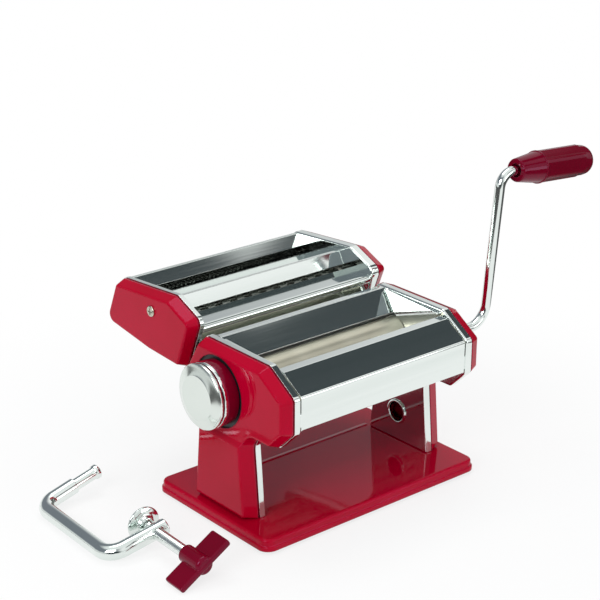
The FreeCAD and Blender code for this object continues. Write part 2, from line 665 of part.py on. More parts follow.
def roller_scrapers():
    """A thin blade under each roller that lifts the dough off it."""
    reach = ROLLER_R + EASY_FIT
    front_tip = (FRONT_ROLLER_Y - 0.6 * reach, ROLLER_AXIS_Z - 0.8 * reach)
    rear_tip = (REAR_ROLLER_Y + 0.1 * reach + 0.3, ROLLER_AXIS_Z - reach)
    front = sheet_strip((front_tip + (0.1,), (front_tip[0] - SCRAPER_RUN, front_tip[1] - SCRAPER_DROP, 0.1)),
                        SCRAPER_SHEET, -BAY_HALF, BAY_HALF)
    inner_x = BAY_HALF - BUSH_FLANGE - ROLLER_END_PLAY - 0.3
    run, drop = SCRAPER_RUN, 1.7 * SCRAPER_DROP
    foot = (rear_tip[0] + run, rear_tip[1] - drop)
    ear_top = (rear_tip[0] + 2 * run / 3, rear_tip[1] - 2 * drop / 3)
    rear = sheet_strip((foot + (0.1,), rear_tip + (0.1,)), SCRAPER_SHEET, -inner_x, inner_x)
    ears = sheet_strip((foot + (0.1,), ear_top + (0.1,)), SCRAPER_SHEET, -BAY_HALF, BAY_HALF)
    return Part.makeCompound([front, rear.fuse(ears).removeSplitter()])


def tie_rods():
    shapes = []
    thread = PLATE_SHEET + NUT_HEIGHT + 0.4
    for y, z in TIE_RODS:
        rod = rod_x(y, z, TIE_ROD_R, -BAY_HALF, BAY_HALF)
        shapes.append(rod.fuse(rod_x(y, z, TIE_ROD_R - 1, -BAY_HALF - thread, BAY_HALF + thread)))
    return Part.makeCompound(shapes)


def tie_rod_nuts():
    shapes = []
    x0 = BAY_HALF + PLATE_SHEET
    for y, z in TIE_RODS:
        nut = hexagon_x(y, z, NUT_R, x0, x0 + NUT_HEIGHT)
        shapes.append(nut.cut(rod_x(y, z, TIE_ROD_R - 1, x0 - 1, x0 + NUT_HEIGHT + 1)))
    return Part.makeCompound(shapes + [mirrored(s) for s in shapes])


def clamp_sockets():
    x0 = BAY_HALF - SOCKET_FLANGE
    flange = rod_x(SOCKET_Y, SOCKET_Z, SOCKET_FLANGE_R, x0, BAY_HALF)
    flange = flange.makeFillet(0.9, edges_where(flange, lambda e: at_level(e, "x", x0)))
    tube = rod_x(SOCKET_Y, SOCKET_Z, SOCKET_BORE_R + SOCKET_WALL, BAY_HALF, x0 + SOCKET_LENGTH)
    socket = flange.fuse(tube).cut(rod_x(SOCKET_Y, SOCKET_Z, SOCKET_BORE_R, x0 - 1, x0 + SOCKET_LENGTH + 1))
    mouth = Vector(x0, SOCKET_Y, SOCKET_Z)
    lead_in = Part.makeCone(SOCKET_BORE_R + 0.8, SOCKET_BORE_R, 0.8, mouth, Vector(1, 0, 0))
    socket = socket.cut(lead_in)
    return Part.makeCompound([socket, mirrored(socket)])


def flanged_bush(y, z, bore_r, wall, flange_r, flange, face_x, sheet):
    sleeve = rod_x(y, z, bore_r + wall, face_x, face_x + sheet + 1.5)
    bush = rod_x(y, z, flange_r, face_x - flange, face_x).fuse(sleeve)
    return bush.cut(rod_x(y, z, bore_r, face_x - flange - 1, face_x + sheet + 4))


def front_roller_bushes():
    bush = flanged_bush(FRONT_ROLLER_Y, ROLLER_AXIS_Z, JOURNAL_R + RUN_FIT, BUSH_WALL - RUN_FIT, BUSH_FLANGE_R,
                        BUSH_FLANGE, BAY_HALF, PLATE_SHEET)
    return Part.makeCompound([bush, mirrored(bush)])


def crank_socket(y, z, mouth_x):
    """The flatted blind hole that the crank slides into, open towards +X."""
    grown = CRANK_ROD_R + RUN_FIT
    return flatted_rod_x(y, z, grown, CRANK_FLAT, mouth_x - CRANK_SOCKET, mouth_x + 1)


def front_roller():
    end_x = ROLLER_MOUTH_X
    profile = ((-GEAR_IN, 0), (-GEAR_IN, JOURNAL_R), (-ROLLER_END, JOURNAL_R), (-ROLLER_END, ROLLER_R - 0.5),
               (-ROLLER_END + 0.5, ROLLER_R), (ROLLER_END - 0.5, ROLLER_R), (ROLLER_END, ROLLER_R - 0.5),
               (ROLLER_END, JOURNAL_R), (end_x, JOURNAL_R), (end_x, 0))
    body = revolve_x(profile, FRONT_ROLLER_Y, ROLLER_AXIS_Z)
    return body.cut(crank_socket(FRONT_ROLLER_Y, ROLLER_AXIS_Z, end_x))


def rear_roller():
    profile = ((-ROLLER_END - 5.0, 0), (-ROLLER_END - 5.0, JOURNAL_R), (-ROLLER_END, JOURNAL_R),
               (-ROLLER_END, ROLLER_R - 0.5), (-ROLLER_END + 0.5, ROLLER_R), (ROLLER_END - 0.5, ROLLER_R),
               (ROLLER_END, ROLLER_R - 0.5), (ROLLER_END, JOURNAL_R), (GEAR_OUT + 1.0, JOURNAL_R),
               (GEAR_OUT + 1.0, 0))
    return revolve_x(profile, REAR_ROLLER_Y, ROLLER_AXIS_Z)


def roller_gear(y, half_step):
    wheel = gear(ROLLER_TEETH, ROLLER_SPACING / 2, ROLLER_TOOTH_ADD, ROLLER_TOOTH_DED, y, ROLLER_AXIS_Z,
                 GEAR_IN, GEAR_OUT, half_step)
    return wheel.cut(rod_x(y, ROLLER_AXIS_Z, JOURNAL_R, GEAR_IN - 1, GEAR_OUT + 1))


def carriage_arm():
    """Plate between a side plate and the rear roller's end, down to the cross bar."""
    thick = BUSH_FLANGE - 2 * SLIDE_FIT
    x0 = BAY_HALF - SLIDE_FIT - thick
    arm, foot = CARRIAGE_ARM, CARRIAGE_FOOT
    outline = ((REAR_ROLLER_Y + arm + 1, ROLLER_AXIS_Z + arm, foot),
               (REAR_ROLLER_Y - arm, ROLLER_AXIS_Z + arm, foot),
               (REAR_ROLLER_Y - arm, ROLLER_AXIS_Z - arm, foot),
               (CARRIAGE_BAR_Y - foot - 1, CARRIAGE_BAR_Z - foot, 3.0),
               (CARRIAGE_BAR_Y + foot, CARRIAGE_BAR_Z - foot, 3.0),
               (CARRIAGE_BAR_Y + foot, CARRIAGE_BAR_Z + foot, 3.0))
    plate = end_slab(outline, x0, x0 + thick)
    hub_end = BAY_HALF + PLATE_SHEET + CARRIAGE_HUB_LENGTH
    return plate, x0, hub_end


def right_carriage():
    plate, x0, _ = carriage_arm()
    hub = rod_x(REAR_ROLLER_Y, ROLLER_AXIS_Z, CARRIAGE_HUB_R, x0, GEAR_IN - 0.4)
    return plate.fuse(hub).cut(rod_x(REAR_ROLLER_Y, ROLLER_AXIS_Z, JOURNAL_R + RUN_FIT, x0 - 1, GEAR_IN + 1))


def left_carriage():
    """Left arm: its hub carries the roller and has the upright slot that the adjuster's cam pin moves."""
    plate, x0, hub_end = carriage_arm()
    hub = rod_x(REAR_ROLLER_Y, ROLLER_AXIS_Z, CARRIAGE_HUB_R, x0, hub_end)
    bore = rod_x(REAR_ROLLER_Y, ROLLER_AXIS_Z, JOURNAL_R + RUN_FIT, x0 - 1, ROLLER_END + 5.4)
    body = plate.fuse(hub).cut(bore)
    half = CAM_PIN_R + EASY_FIT
    slot = box(hub_end - CAM_PIN_LENGTH - 0.4, hub_end + 1, REAR_ROLLER_Y - half, REAR_ROLLER_Y + half,
               ROLLER_AXIS_Z - half - CAM_THROW - 1, ROLLER_AXIS_Z + half + CAM_THROW + 1)
    return mirrored(body.cut(slot))


def carriage_bar():
    _, x0, _ = carriage_arm()
    return rod_x(CARRIAGE_BAR_Y, CARRIAGE_BAR_Z, CARRIAGE_BAR_R, -x0, x0)


KNOB_SHAFT_IN = BAY_HALF + PLATE_SHEET + CARRIAGE_HUB_LENGTH + 0.3
INDEX_IN = COVER_FACE - KNOB_WELL_DEPTH
INDEX_OUT = INDEX_IN + INDEX_PLATE
COLLAR_IN = INDEX_OUT + 0.4
RING_IN = COLLAR_IN + KNOB_COLLAR
GROOVE_IN = RING_IN + KNOB_RING
CAP_IN = GROOVE_IN + KNOB_GROOVE
CAP_OUT = CAP_IN + KNOB_CAP
SHAFT_TIP = CAP_OUT - CAP_SKIN - 0.5
RETAINER_OUT = SHAFT_TIP - 0.4
RETAINER_IN = RETAINER_OUT - RETAINER
WEB_OUT = COLLAR_IN + KNOB_WEB


def adjuster_shaft():
    turned = rod_x(KNOB_Y, ROLLER_AXIS_Z, KNOB_SHAFT_R, KNOB_SHAFT_IN, INDEX_OUT)
    keyed = flatted_rod_x(KNOB_Y, ROLLER_AXIS_Z, KNOB_SHAFT_R, KNOB_SHAFT_FLAT, INDEX_OUT, SHAFT_TIP)
    flange = rod_x(KNOB_Y, ROLLER_AXIS_Z, KNOB_FLANGE_R, KNOB_SHAFT_IN, KNOB_SHAFT_IN + KNOB_FLANGE)
    pin = rod_x(KNOB_Y - CAM_THROW, ROLLER_AXIS_Z, CAM_PIN_R, KNOB_SHAFT_IN - CAM_PIN_LENGTH, KNOB_SHAFT_IN)
    return mirrored(fuse([turned, keyed, flange, pin]))


def adjuster_bearing():
    """Bush in the index dish that the adjuster's shaft turns in."""
    x0 = KNOB_SHAFT_IN + KNOB_FLANGE + 0.2
    wall = rod_x(KNOB_Y, ROLLER_AXIS_Z, KNOB_SHAFT_R + 4.0, x0, INDEX_IN)
    neck = rod_x(KNOB_Y, ROLLER_AXIS_Z, KNOB_SHAFT_R + 2.0, x0, INDEX_OUT)
    bore = rod_x(KNOB_Y, ROLLER_AXIS_Z, KNOB_SHAFT_R + RUN_FIT, x0 - 1, INDEX_OUT + 1)
    return mirrored(wall.fuse(neck).cut(bore))


def index_plate():
    """Fixed dish behind the left cover's round opening; its curved slot stops the knob at both ends."""
    x0 = INDEX_IN
    half = STOP_PIN_R + EASY_FIT
    well_r = KNOB_WELL_R + HOLE_EASE
    plate = rod_x(KNOB_Y, ROLLER_AXIS_Z, well_r + INDEX_RIM - HOLE_EASE, x0, COVER_FACE - COVER_SHEET)
    plate = plate.common(cover_form(PLATE_SHEET + EASY_FIT + COVER_SHEET + HOLE_EASE, COVER_SHEET))
    plate = plate.cut(rod_x(KNOB_Y, ROLLER_AXIS_Z, well_r, INDEX_OUT, COVER_FACE))
    plate = plate.cut(rod_x(KNOB_Y, ROLLER_AXIS_Z, KNOB_SHAFT_R + 2.0, x0 - 1, INDEX_OUT + 1))

    def on_ring(radius, degrees):
        a = math.radians(degrees)
        return Vector(x0 - 1, KNOB_Y + radius * math.cos(a), ROLLER_AXIS_Z + radius * math.sin(a))

    outer, inner = STOP_PIN_RADIUS + half, STOP_PIN_RADIUS - half
    lift = Vector(0, 0, half)
    left_end = Part.Arc(on_ring(inner, 180), on_ring(STOP_PIN_RADIUS, 180) + lift, on_ring(outer, 180))
    right_end = Part.Arc(on_ring(outer, 360), on_ring(STOP_PIN_RADIUS, 0) + lift, on_ring(inner, 360))
    outer_arc = Part.Arc(on_ring(outer, 180), on_ring(outer, 270), on_ring(outer, 360))
    inner_arc = Part.Arc(on_ring(inner, 360), on_ring(inner, 270), on_ring(inner, 180))
    slot = Part.Wire([arc.toShape() for arc in (left_end, outer_arc, right_end, inner_arc)])
    return mirrored(plate.cut(Part.Face(slot).extrude(Vector(INDEX_PLATE + 2, 0, 0))))


def stop_pin():
    return mirrored(rod_x(KNOB_Y - STOP_PIN_RADIUS, ROLLER_AXIS_Z, STOP_PIN_R, INDEX_IN + 0.4,
                          COLLAR_IN + STOP_PIN_DEPTH))


def knob_body():
    inner_r = KNOB_R - KNOB_GROOVE_DEPTH
    profile = ((COLLAR_IN, 0), (COLLAR_IN, KNOB_R - 1.0), (COLLAR_IN + 1.0, KNOB_R),
               (RING_IN - 0.8, KNOB_R), (RING_IN, KNOB_R - 0.8), (RING_IN, inner_r - 1.5),
               (GROOVE_IN, inner_r - 1.5), (GROOVE_IN, inner_r), (CAP_IN, inner_r), (CAP_IN, KNOB_CAVITY_R),
               (WEB_OUT, KNOB_CAVITY_R), (WEB_OUT, 0))
    body = revolve_x(profile, KNOB_Y, ROLLER_AXIS_Z)
    grown = KNOB_SHAFT_R + RUN_FIT
    bore = flatted_rod_x(KNOB_Y, ROLLER_AXIS_Z, grown, KNOB_SHAFT_FLAT, COLLAR_IN - 1, WEB_OUT + 1)
    hole = rod_x(KNOB_Y - STOP_PIN_RADIUS, ROLLER_AXIS_Z, STOP_PIN_R, COLLAR_IN - 1, COLLAR_IN + STOP_PIN_DEPTH)
    return mirrored(body.cut(bore).cut(hole))


def knob_ring():
    inner_r = KNOB_R - KNOB_GROOVE_DEPTH - 1.5
    outer_r = KNOB_R + KNOB_RING_PROUD
    profile = ((RING_IN, inner_r), (RING_IN, outer_r - 0.5), (RING_IN + 0.5, outer_r),
               (GROOVE_IN - 0.5, outer_r), (GROOVE_IN, outer_r - 0.5), (GROOVE_IN, inner_r))
    return mirrored(revolve_x(profile, KNOB_Y, ROLLER_AXIS_Z))


def knob_cap():
    """Pressed cap: a flat centre disc stands proud of a conical rim."""
    outer_r = KNOB_R + KNOB_RING_PROUD
    tip = CAP_OUT + KNOB_CAP_DOME
    flat = KNOB_CAP_FLAT_R
    profile = ((CAP_IN, 0), (CAP_IN, outer_r - 0.6), (CAP_IN + 0.6, outer_r), (CAP_OUT - 0.8, outer_r),
               (CAP_OUT, outer_r - 0.9), (tip - 0.6, flat + 0.5), (tip, flat - 0.5), (tip, 0))
    cap = revolve_x(profile, KNOB_Y, ROLLER_AXIS_Z)
    room = rod_x(KNOB_Y, ROLLER_AXIS_Z, KNOB_CAVITY_R, CAP_IN - 1, CAP_OUT - CAP_SKIN)
    return mirrored(cap.cut(room))


def knob_retainer():
    washer = rod_x(KNOB_Y, ROLLER_AXIS_Z, KNOB_CAVITY_R - 2.0, RETAINER_IN, RETAINER_OUT)
    keyed = flatted_rod_x(KNOB_Y, ROLLER_AXIS_Z, KNOB_SHAFT_R, KNOB_SHAFT_FLAT, RETAINER_IN - 1,
                          RETAINER_OUT + 1)
    return mirrored(washer.cut(keyed))


def knob_spring():
    """Return spring between the knob's web and the retainer, a plain tube because nothing of it shows."""
    coil = rod_x(KNOB_Y, ROLLER_AXIS_Z, KNOB_SHAFT_R + 2.6, WEB_OUT, RETAINER_IN)
    return mirrored(coil.cut(rod_x(KNOB_Y, ROLLER_AXIS_Z, KNOB_SHAFT_R + 0.6, WEB_OUT - 1, RETAINER_IN + 1)))


def crank_point(x, height):
    """A point in the crank's own plane: along the rollers, and up from its axis."""
    tilt = math.radians(CRANK_TILT)
    return Vector(x, FRONT_ROLLER_Y - height * math.sin(tilt), ROLLER_AXIS_Z + height * math.cos(tilt))


def bend_edges(corner, toward_a, toward_b, radius):
    """The straight-to-straight arc at one corner of the crank, in its plane."""
    ta, tb = unit(corner, toward_a), unit(corner, toward_b)
    half = math.acos(ta[0] * tb[0] + ta[1] * tb[1]) / 2
    run = radius / math.tan(half)
    start = (corner[0] + ta[0] * run, corner[1] + ta[1] * run)
    end = (corner[0] + tb[0] * run, corner[1] + tb[1] * run)
    mid_dir = unit((0, 0), (ta[0] + tb[0], ta[1] + tb[1]))
    far = radius / math.sin(half) - radius
    middle = (corner[0] + mid_dir[0] * far, corner[1] + mid_dir[1] * far)
    return start, middle, end


def bent_rod(points, radius):
    """Round rod along a line, an arc, a line, an arc and a line, through eight points."""
    path = Part.Wire([Part.LineSegment(points[0], points[1]).toShape(), Part.Arc(*points[1:4]).toShape(),
                      Part.LineSegment(points[3], points[4]).toShape(), Part.Arc(*points[4:7]).toShape(),
                      Part.LineSegment(points[6], points[7]).toShape()])
    ring = Part.Wire(Part.makeCircle(radius, points[0], points[1].sub(points[0])))
    rod = path.makePipeShell([ring], True, False)
    return Part.Solid(rod) if rod.ShapeType != "Solid" else rod


LEAN = math.radians(CRANK_LEAN)
CRANK_TOP = (CRANK_REACH + CRANK_ARM * math.tan(LEAN), CRANK_ARM)


def along_grip(distance):
    return CRANK_TOP[0] + distance * math.cos(LEAN), CRANK_TOP[1] - distance * math.sin(LEAN)


def crank_arm():
    tip = (ROLLER_MOUTH_X - CRANK_SOCKET + 1.0, 0.0)
    root = (CRANK_REACH, 0.0)
    end = along_grip(GRIP_START + GRIP_LENGTH - SPINDLE_HEAD - 2.0)
    a0, am, a1 = bend_edges(root, tip, CRANK_TOP, CRANK_LOWER_BEND_R)
    b0, bm, b1 = bend_edges(CRANK_TOP, root, end, CRANK_UPPER_BEND_R)
    solid = bent_rod([crank_point(*p) for p in (tip, a0, am, a1, b0, bm, b1, end)], CRANK_ROD_R)
    flat_top = ROLLER_AXIS_Z + CRANK_ROD_R - CRANK_FLAT
    flat = box(tip[0] - 1, ROLLER_MOUTH_X, FRONT_ROLLER_Y - 9, FRONT_ROLLER_Y + 9, flat_top,
               ROLLER_AXIS_Z + 9)
    return solid.cut(flat).fuse(riveted_head())


def grip_frame():
    origin = crank_point(*along_grip(GRIP_START))
    direction = crank_point(*along_grip(GRIP_START + 1)).sub(origin)
    return origin, direction.normalize()


def turned_on(origin, direction, profile):
    """A turned solid about any axis; profile is a list of (distance, radius)."""
    points = [Vector(r, 0, d) for d, r in profile]
    solid = Part.Face(Part.makePolygon(points + [points[0]])).revolve(Vector(0, 0, 0), Vector(0, 0, 1), 360)
    solid.Placement = FreeCAD.Placement(origin, FreeCAD.Rotation(Vector(0, 0, 1), direction))
    return solid


def crank_grip():
    """Turned grip: a smooth cone, a thin ring, a fluted body and a plain rounded nose one step smaller."""
    origin, direction = grip_frame()
    bore = CRANK_ROD_R + 0.1
    ring_end = GRIP_RING_AT + GRIP_RING
    nose = GRIP_LENGTH - GRIP_NOSE
    nose_r = GRIP_BODY_R - GRIP_NOSE_STEP
    drop = nose_r - GRIP_END_R
    arc = [(nose + 1.0, nose_r)]
    arc += [(GRIP_LENGTH - GRIP_DOME * (1 - math.sin(a)), GRIP_END_R + drop * math.cos(a))
            for a in (math.radians(7.5 * d) for d in range(0, 13))]
    recess_r = SPINDLE_HEAD_R + 0.4
    recess = GRIP_LENGTH - SPINDLE_HEAD - 1.7
    profile = [(GRIP_MOUTH, bore), (GRIP_MOUTH, GRIP_MOUTH_R), (0, GRIP_MOUTH_R), (0, GRIP_SMALL_R - 0.8),
               (0.3, GRIP_SMALL_R - 0.3), (0.9, GRIP_SMALL_R), (GRIP_RING_AT, GRIP_BODY_R - 0.6),
               (GRIP_RING_AT, GRIP_RING_R - 0.2), (GRIP_RING_AT + 0.3, GRIP_RING_R),
               (ring_end - 0.3, GRIP_RING_R), (ring_end, GRIP_RING_R - 0.3), (nose, GRIP_BODY_R)]
    profile += arc
    profile += [(GRIP_LENGTH, recess_r), (recess, recess_r), (recess, bore)]
    grip = turned_on(origin, direction, profile)
    far = GRIP_BODY_R + GRIP_FLUTE_R - GRIP_FLUTE_DEPTH
    seat = FreeCAD.Placement(origin, FreeCAD.Rotation(Vector(0, 0, 1), direction))
    for i in range(GRIP_FLUTES):
        angle = 2 * math.pi * i / GRIP_FLUTES + math.radians(GRIP_FLUTE_TURN)
        foot = Vector(far * math.cos(angle), far * math.sin(angle), ring_end)
        flute = Part.makeCylinder(GRIP_FLUTE_R, GRIP_NOSE + nose - ring_end, foot)
        flute.Placement = seat.multiply(flute.Placement)
        grip = grip.cut(flute)
    return grip


def riveted_head():
    """Head closed on the crank's own end, which keeps the grip on."""
    origin, direction = grip_frame()
    start = GRIP_LENGTH - SPINDLE_HEAD - 1.4
    profile = [(start - 0.6, 0), (start - 0.6, CRANK_ROD_R), (start, CRANK_ROD_R), (start, SPINDLE_HEAD_R),
               (start + SPINDLE_HEAD * 0.5, SPINDLE_HEAD_R), (start + SPINDLE_HEAD, SPINDLE_HEAD_R * 0.6),
               (start + SPINDLE_HEAD, 0)]
    return turned_on(origin, direction, profile)


def cutter_roller_places():
    half = CUT_SPACING / 2
    return {"wide_cutter_front": WIDE_NIP_Y - half, "wide_cutter_rear": WIDE_NIP_Y + half,
            "narrow_cutter_front": NARROW_NIP_Y - half, "narrow_cutter_rear": NARROW_NIP_Y + half}


def cutter_end_plate(flange):
    """End plate of the cutter on the +X side, its flange turned outwards."""
    outer = end_slab(CUTTER_OUTLINE, CUTTER_HALF, CUTTER_HALF + flange)
    outer = outer.makeFillet(1.1, edges_where(outer, lambda e: at_level(e, "x", CUTTER_HALF)))
    inner = end_slab(inset(CUTTER_OUTLINE, CUTTER_SHEET), CUTTER_HALF + CUTTER_SHEET, CUTTER_HALF + flange + 1)
    plate = outer.cut(inner)
    seat_r = CUT_JOURNAL_R + CUT_BUSH_WALL
    for y in cutter_roller_places().values():
        plate = plate.cut(rod_x(y, CUT_ROLLER_Z, seat_r, CUTTER_HALF - 1, CUTTER_HALF + 3))
    for y, z in CUTTER_RODS:
        plate = plate.cut(rod_x(y, z, CUTTER_ROD_R - 1, CUTTER_HALF - 1, CUTTER_HALF + 3))
    return plate.cut(rod_x(CAP_SCREW_Y, CAP_SCREW_Z, CAP_SCREW_R, CUTTER_HALF - 1, CUTTER_HALF + 3))


def cutter_cap(flange, drive_holes):
    """Red end cap on the +X side, over an end plate with the same flange."""
    rim_inset = 0.5
    rim = CUTTER_HALF + flange + COVER_GAP
    face = CUTTER_HALF + flange + CUTTER_CAP_DEPTH
    shell = shell_loft(CUTTER_OUTLINE, CUTTER_OUTLINE, rim, face, COVER_DRAFT, rim_inset)
    shell = shell.makeFillet(COVER_EDGE_R, edges_where(shell, lambda e: at_level(e, "x", face)))
    nest_inset = CUTTER_SHEET + EASY_FIT
    nest = end_slab(inset(CUTTER_OUTLINE, nest_inset), rim - 2.0, rim + 0.6)
    wall_inset = nest_inset + COVER_SHEET
    hollow = shell_loft(CUTTER_OUTLINE, CUTTER_OUTLINE, rim, face - COVER_SHEET, COVER_DRAFT, wall_inset)
    hollow_rim = end_slab(inset(CUTTER_OUTLINE, wall_inset), rim - 3, rim)
    shell = shell.fuse(nest).cut(hollow).cut(hollow_rim)
    boss = rod_x(CAP_SCREW_Y, CAP_SCREW_Z, CAP_BOSS_R, CUTTER_HALF + CUTTER_SHEET, face - COVER_SHEET / 2)
    screw_hole = rod_x(CAP_SCREW_Y, CAP_SCREW_Z, CAP_SCREW_R + HOLE_EASE, CUTTER_HALF, face + 1)
    shell = shell.fuse(boss).cut(screw_hole)
    for y in drive_holes:
        shell = shell.cut(rod_x(y, CUT_ROLLER_Z, CRANK_ROD_R + 1.6, rim, face + 1))
    return shell


def cap_screw(flange):
    face = CUTTER_HALF + flange + CUTTER_CAP_DEPTH
    shank = rod_x(CAP_SCREW_Y, CAP_SCREW_Z, CAP_SCREW_R, CUTTER_HALF - 3.0, face)
    head = rod_x(CAP_SCREW_Y, CAP_SCREW_Z, CAP_SCREW_HEAD_R, face, face + CAP_SCREW_HEAD)
    head = head.makeFillet(0.8, edges_where(head, lambda e: at_level(e, "x", face + CAP_SCREW_HEAD)))
    screw = shank.fuse(head)
    for wide, tall in ((2.6, 0.6), (0.6, 2.6)):
        screw = screw.cut(box(face + 0.6, face + 4, CAP_SCREW_Y - wide, CAP_SCREW_Y + wide,
                              CAP_SCREW_Z - tall, CAP_SCREW_Z + tall))
    return screw


def cutter_rear_plate():
    end_x = CUTTER_HALF
    top_z = CUTTER_OUTLINE[0][1] - 0.4
    path = ((NARROW_NIP_Y + 4.6, SLOT_EDGE_Z + 2.0, 0.1), (NARROW_NIP_Y + REAR_CREST, top_z, 1.4),
            (CUTTER_OUTLINE[0][0] - 2.0, top_z, 1.6),
            (CUTTER_OUTLINE[5][0] - REAR_TAIL_IN, CUTTER_OUTLINE[5][1] + REAR_TAIL_RISE, 0.1))
    return sheet_strip(path[::-1], PANEL_SHEET, -end_x, end_x)


def cutter_roof_plate():
    end_x = CUTTER_HALF
    path = ((WIDE_NIP_Y + 3.0, SLOT_EDGE_Z + 0.5, 0.1), (ROOF_CREST[0], ROOF_CREST[1], 1.6),
            (NARROW_NIP_Y - 1.6, SLOT_EDGE_Z, 0.1))
    return sheet_strip(path[::-1], PANEL_SHEET, -end_x, end_x)


def cutter_front_plate():
    """Plate in front of the wide slot, its front edge rolled into a rail with a short skirt below."""
    end_x = CUTTER_HALF
    path = ((RAIL_Y, RAIL_Z + RAIL_R, 0.1), (WIDE_NIP_Y - 4.0, SLOT_EDGE_Z - 0.5, 0.1))
    sheet = sheet_strip(path[::-1], PANEL_SHEET, -end_x, end_x)
    rail = rod_x(RAIL_Y, RAIL_Z, RAIL_R, -end_x, end_x)
    skirt = box(-end_x, end_x, RAIL_Y - PANEL_SHEET, RAIL_Y, RAIL_Z - RAIL_R - RAIL_SKIRT, RAIL_Z)
    return sheet.fuse(rail).fuse(skirt).removeSplitter()


def cutter_rods():
    shapes = []
    for y, z in CUTTER_RODS:
        rod = rod_x(y, z, CUTTER_ROD_R, -CUTTER_HALF, CUTTER_HALF)
        tip = CUTTER_HALF + CUTTER_SHEET
        shapes.append(rod.fuse(rod_x(y, z, CUTTER_ROD_R - 1, -tip, tip)))
    return Part.makeCompound(shapes)


def cutter_bushes():
    shapes = []
    for y in cutter_roller_places().values():
        bush = flanged_bush(y, CUT_ROLLER_Z, CUT_JOURNAL_R + RUN_FIT, CUT_BUSH_WALL - RUN_FIT,
                            CUT_BUSH_FLANGE_R, CUT_BUSH_FLANGE, CUTTER_HALF, CUTTER_SHEET - 1.0)
        shapes += [bush, mirrored(bush)]
    return Part.makeCompound(shapes)


def cutting_roller(y, pitch, starts_full, socket):
    """A grooved roller; its discs run in the grooves of its partner."""
    half_width = pitch / 4 - CUT_SIDE_GAP / 2
    low = CUT_ROLLER_R - CUT_GROOVE
    count = int(2 * (CUT_END - 2.0) / pitch)
    shift = 0.0 if starts_full else pitch / 2
    profile = [(-CUT_END, 0), (-CUT_END, low)]
    for i in range(-count, count + 1):
        centre = i * pitch + shift
        if abs(centre) + half_width <= CUT_END - 0.5:
            profile += [(centre - half_width, low), (centre - half_width, CUT_ROLLER_R),
                        (centre + half_width, CUT_ROLLER_R), (centre + half_width, low)]
    profile += [(CUT_END, low), (CUT_END, 0)]
    body = revolve_x(profile, y, CUT_ROLLER_Z)
    right_end = CUT_MOUTH_X if socket else CUT_GEAR_IN + CUT_GEAR_WIDTH + 0.6
    left = rod_x(y, CUT_ROLLER_Z, CUT_JOURNAL_R, -CUTTER_HALF - CUTTER_SHEET - 1.5, -CUT_END)
    right = rod_x(y, CUT_ROLLER_Z, CUT_JOURNAL_R, CUT_END, right_end)
    body = body.fuse(left).fuse(right)
    if socket:
        body = body.cut(crank_socket(y, CUT_ROLLER_Z, right_end))
    return body


def cutter_gear(y, half_step):
    x0 = CUT_GEAR_IN
    wheel = gear(CUT_TEETH, CUT_SPACING / 2, CUT_TOOTH_ADD, CUT_TOOTH_DED, y, CUT_ROLLER_Z, x0,
                 x0 + CUT_GEAR_WIDTH, half_step)
    return wheel.cut(rod_x(y, CUT_ROLLER_Z, CUT_JOURNAL_R, x0 - 1, x0 + CUT_GEAR_WIDTH + 1))


def combs(nip_y, pitch):
    """Stripper bars whose fingers stand in the grooves under both rollers of a pair."""
    shapes = []
    finger_half = pitch / 4 - 0.35
    top_z = CUT_ROLLER_Z - (CUT_ROLLER_R - CUT_GROOVE) - 0.5
    bar_top = CUT_ROLLER_Z - CUT_ROLLER_R - 0.5
    for side, shift in ((-1, pitch / 2), (1, 0.0)):
        y = nip_y + side * CUT_SPACING / 2
        parts = [box(-CUTTER_HALF, CUTTER_HALF, y - 1.2, y + 1.2, bar_top - COMB_BAR, bar_top)]
        count = int(2 * CUT_END / pitch)
        for i in range(-count, count + 1):
            centre = i * pitch + shift
            if abs(centre) + finger_half < CUT_END - 1.0:
                parts.append(box(centre - finger_half, centre + finger_half, y - 0.9, y + 0.9,
                                 bar_top - 0.4, top_z))
        shapes.append(fuse(parts))
    return Part.makeCompound(shapes)


def cutter_hangers():
    """Two flat hooks that hang the cutter on the machine's rear tie rod."""
    rod_y, rod_z = TIE_RODS[HANGER_ROD]
    hook_r = TIE_ROD_R + EASY_FIT
    outer_r = hook_r + HANGER_WALL
    base_y, base_z = CUTTER_RODS[0]
    x0 = BAY_HALF - 2.6
    end_r = CUTTER_ROD_R + HANGER_WALL / 2
    along = unit((base_y, base_z), (rod_y, rod_z))
    normal = (-along[1], along[0])
    low, high = 0.9 * end_r, 0.9 * outer_r
    arm = end_slab(((base_y - normal[0] * low, base_z - normal[1] * low, 0.3),
                    (rod_y - normal[0] * high, rod_z - normal[1] * high, 0.3),
                    (rod_y + normal[0] * high, rod_z + normal[1] * high, 0.3),
                    (base_y + normal[0] * low, base_z + normal[1] * low, 0.3)), x0 - HANGER_SHEET, x0)
    eye = rod_x(rod_y, rod_z, outer_r, x0 - HANGER_SHEET, x0)
    plate = arm.fuse([eye, rod_x(base_y, base_z, end_r, x0 - HANGER_SHEET, x0)])
    mouth = fuse([rod_x(rod_y, rod_z, hook_r, x0 - 5, x0 + 1),
                  box(x0 - 5, x0 + 1, rod_y - hook_r, rod_y + hook_r, rod_z - 12, rod_z)])
    plate = plate.cut(mouth).cut(rod_x(base_y, base_z, CUTTER_ROD_R, x0 - 5, x0 + 1))
    return Part.makeCompound([plate, mirrored(plate)])


def lay_clamp(shape):
    """Lays the clamp on the table, where it rests on its back and on the wing knob."""
    placed = shape.copy()
    placed.rotate(Vector(0, 0, 0), Vector(0, 1, 0), -CLAMP_TILT)
    placed.rotate(Vector(0, 0, 0), Vector(0, 0, 1), -CLAMP_YAW)
    placed.translate(Vector(CLAMP_X, CLAMP_Y, CLAMP_ROD_R))
    return placed


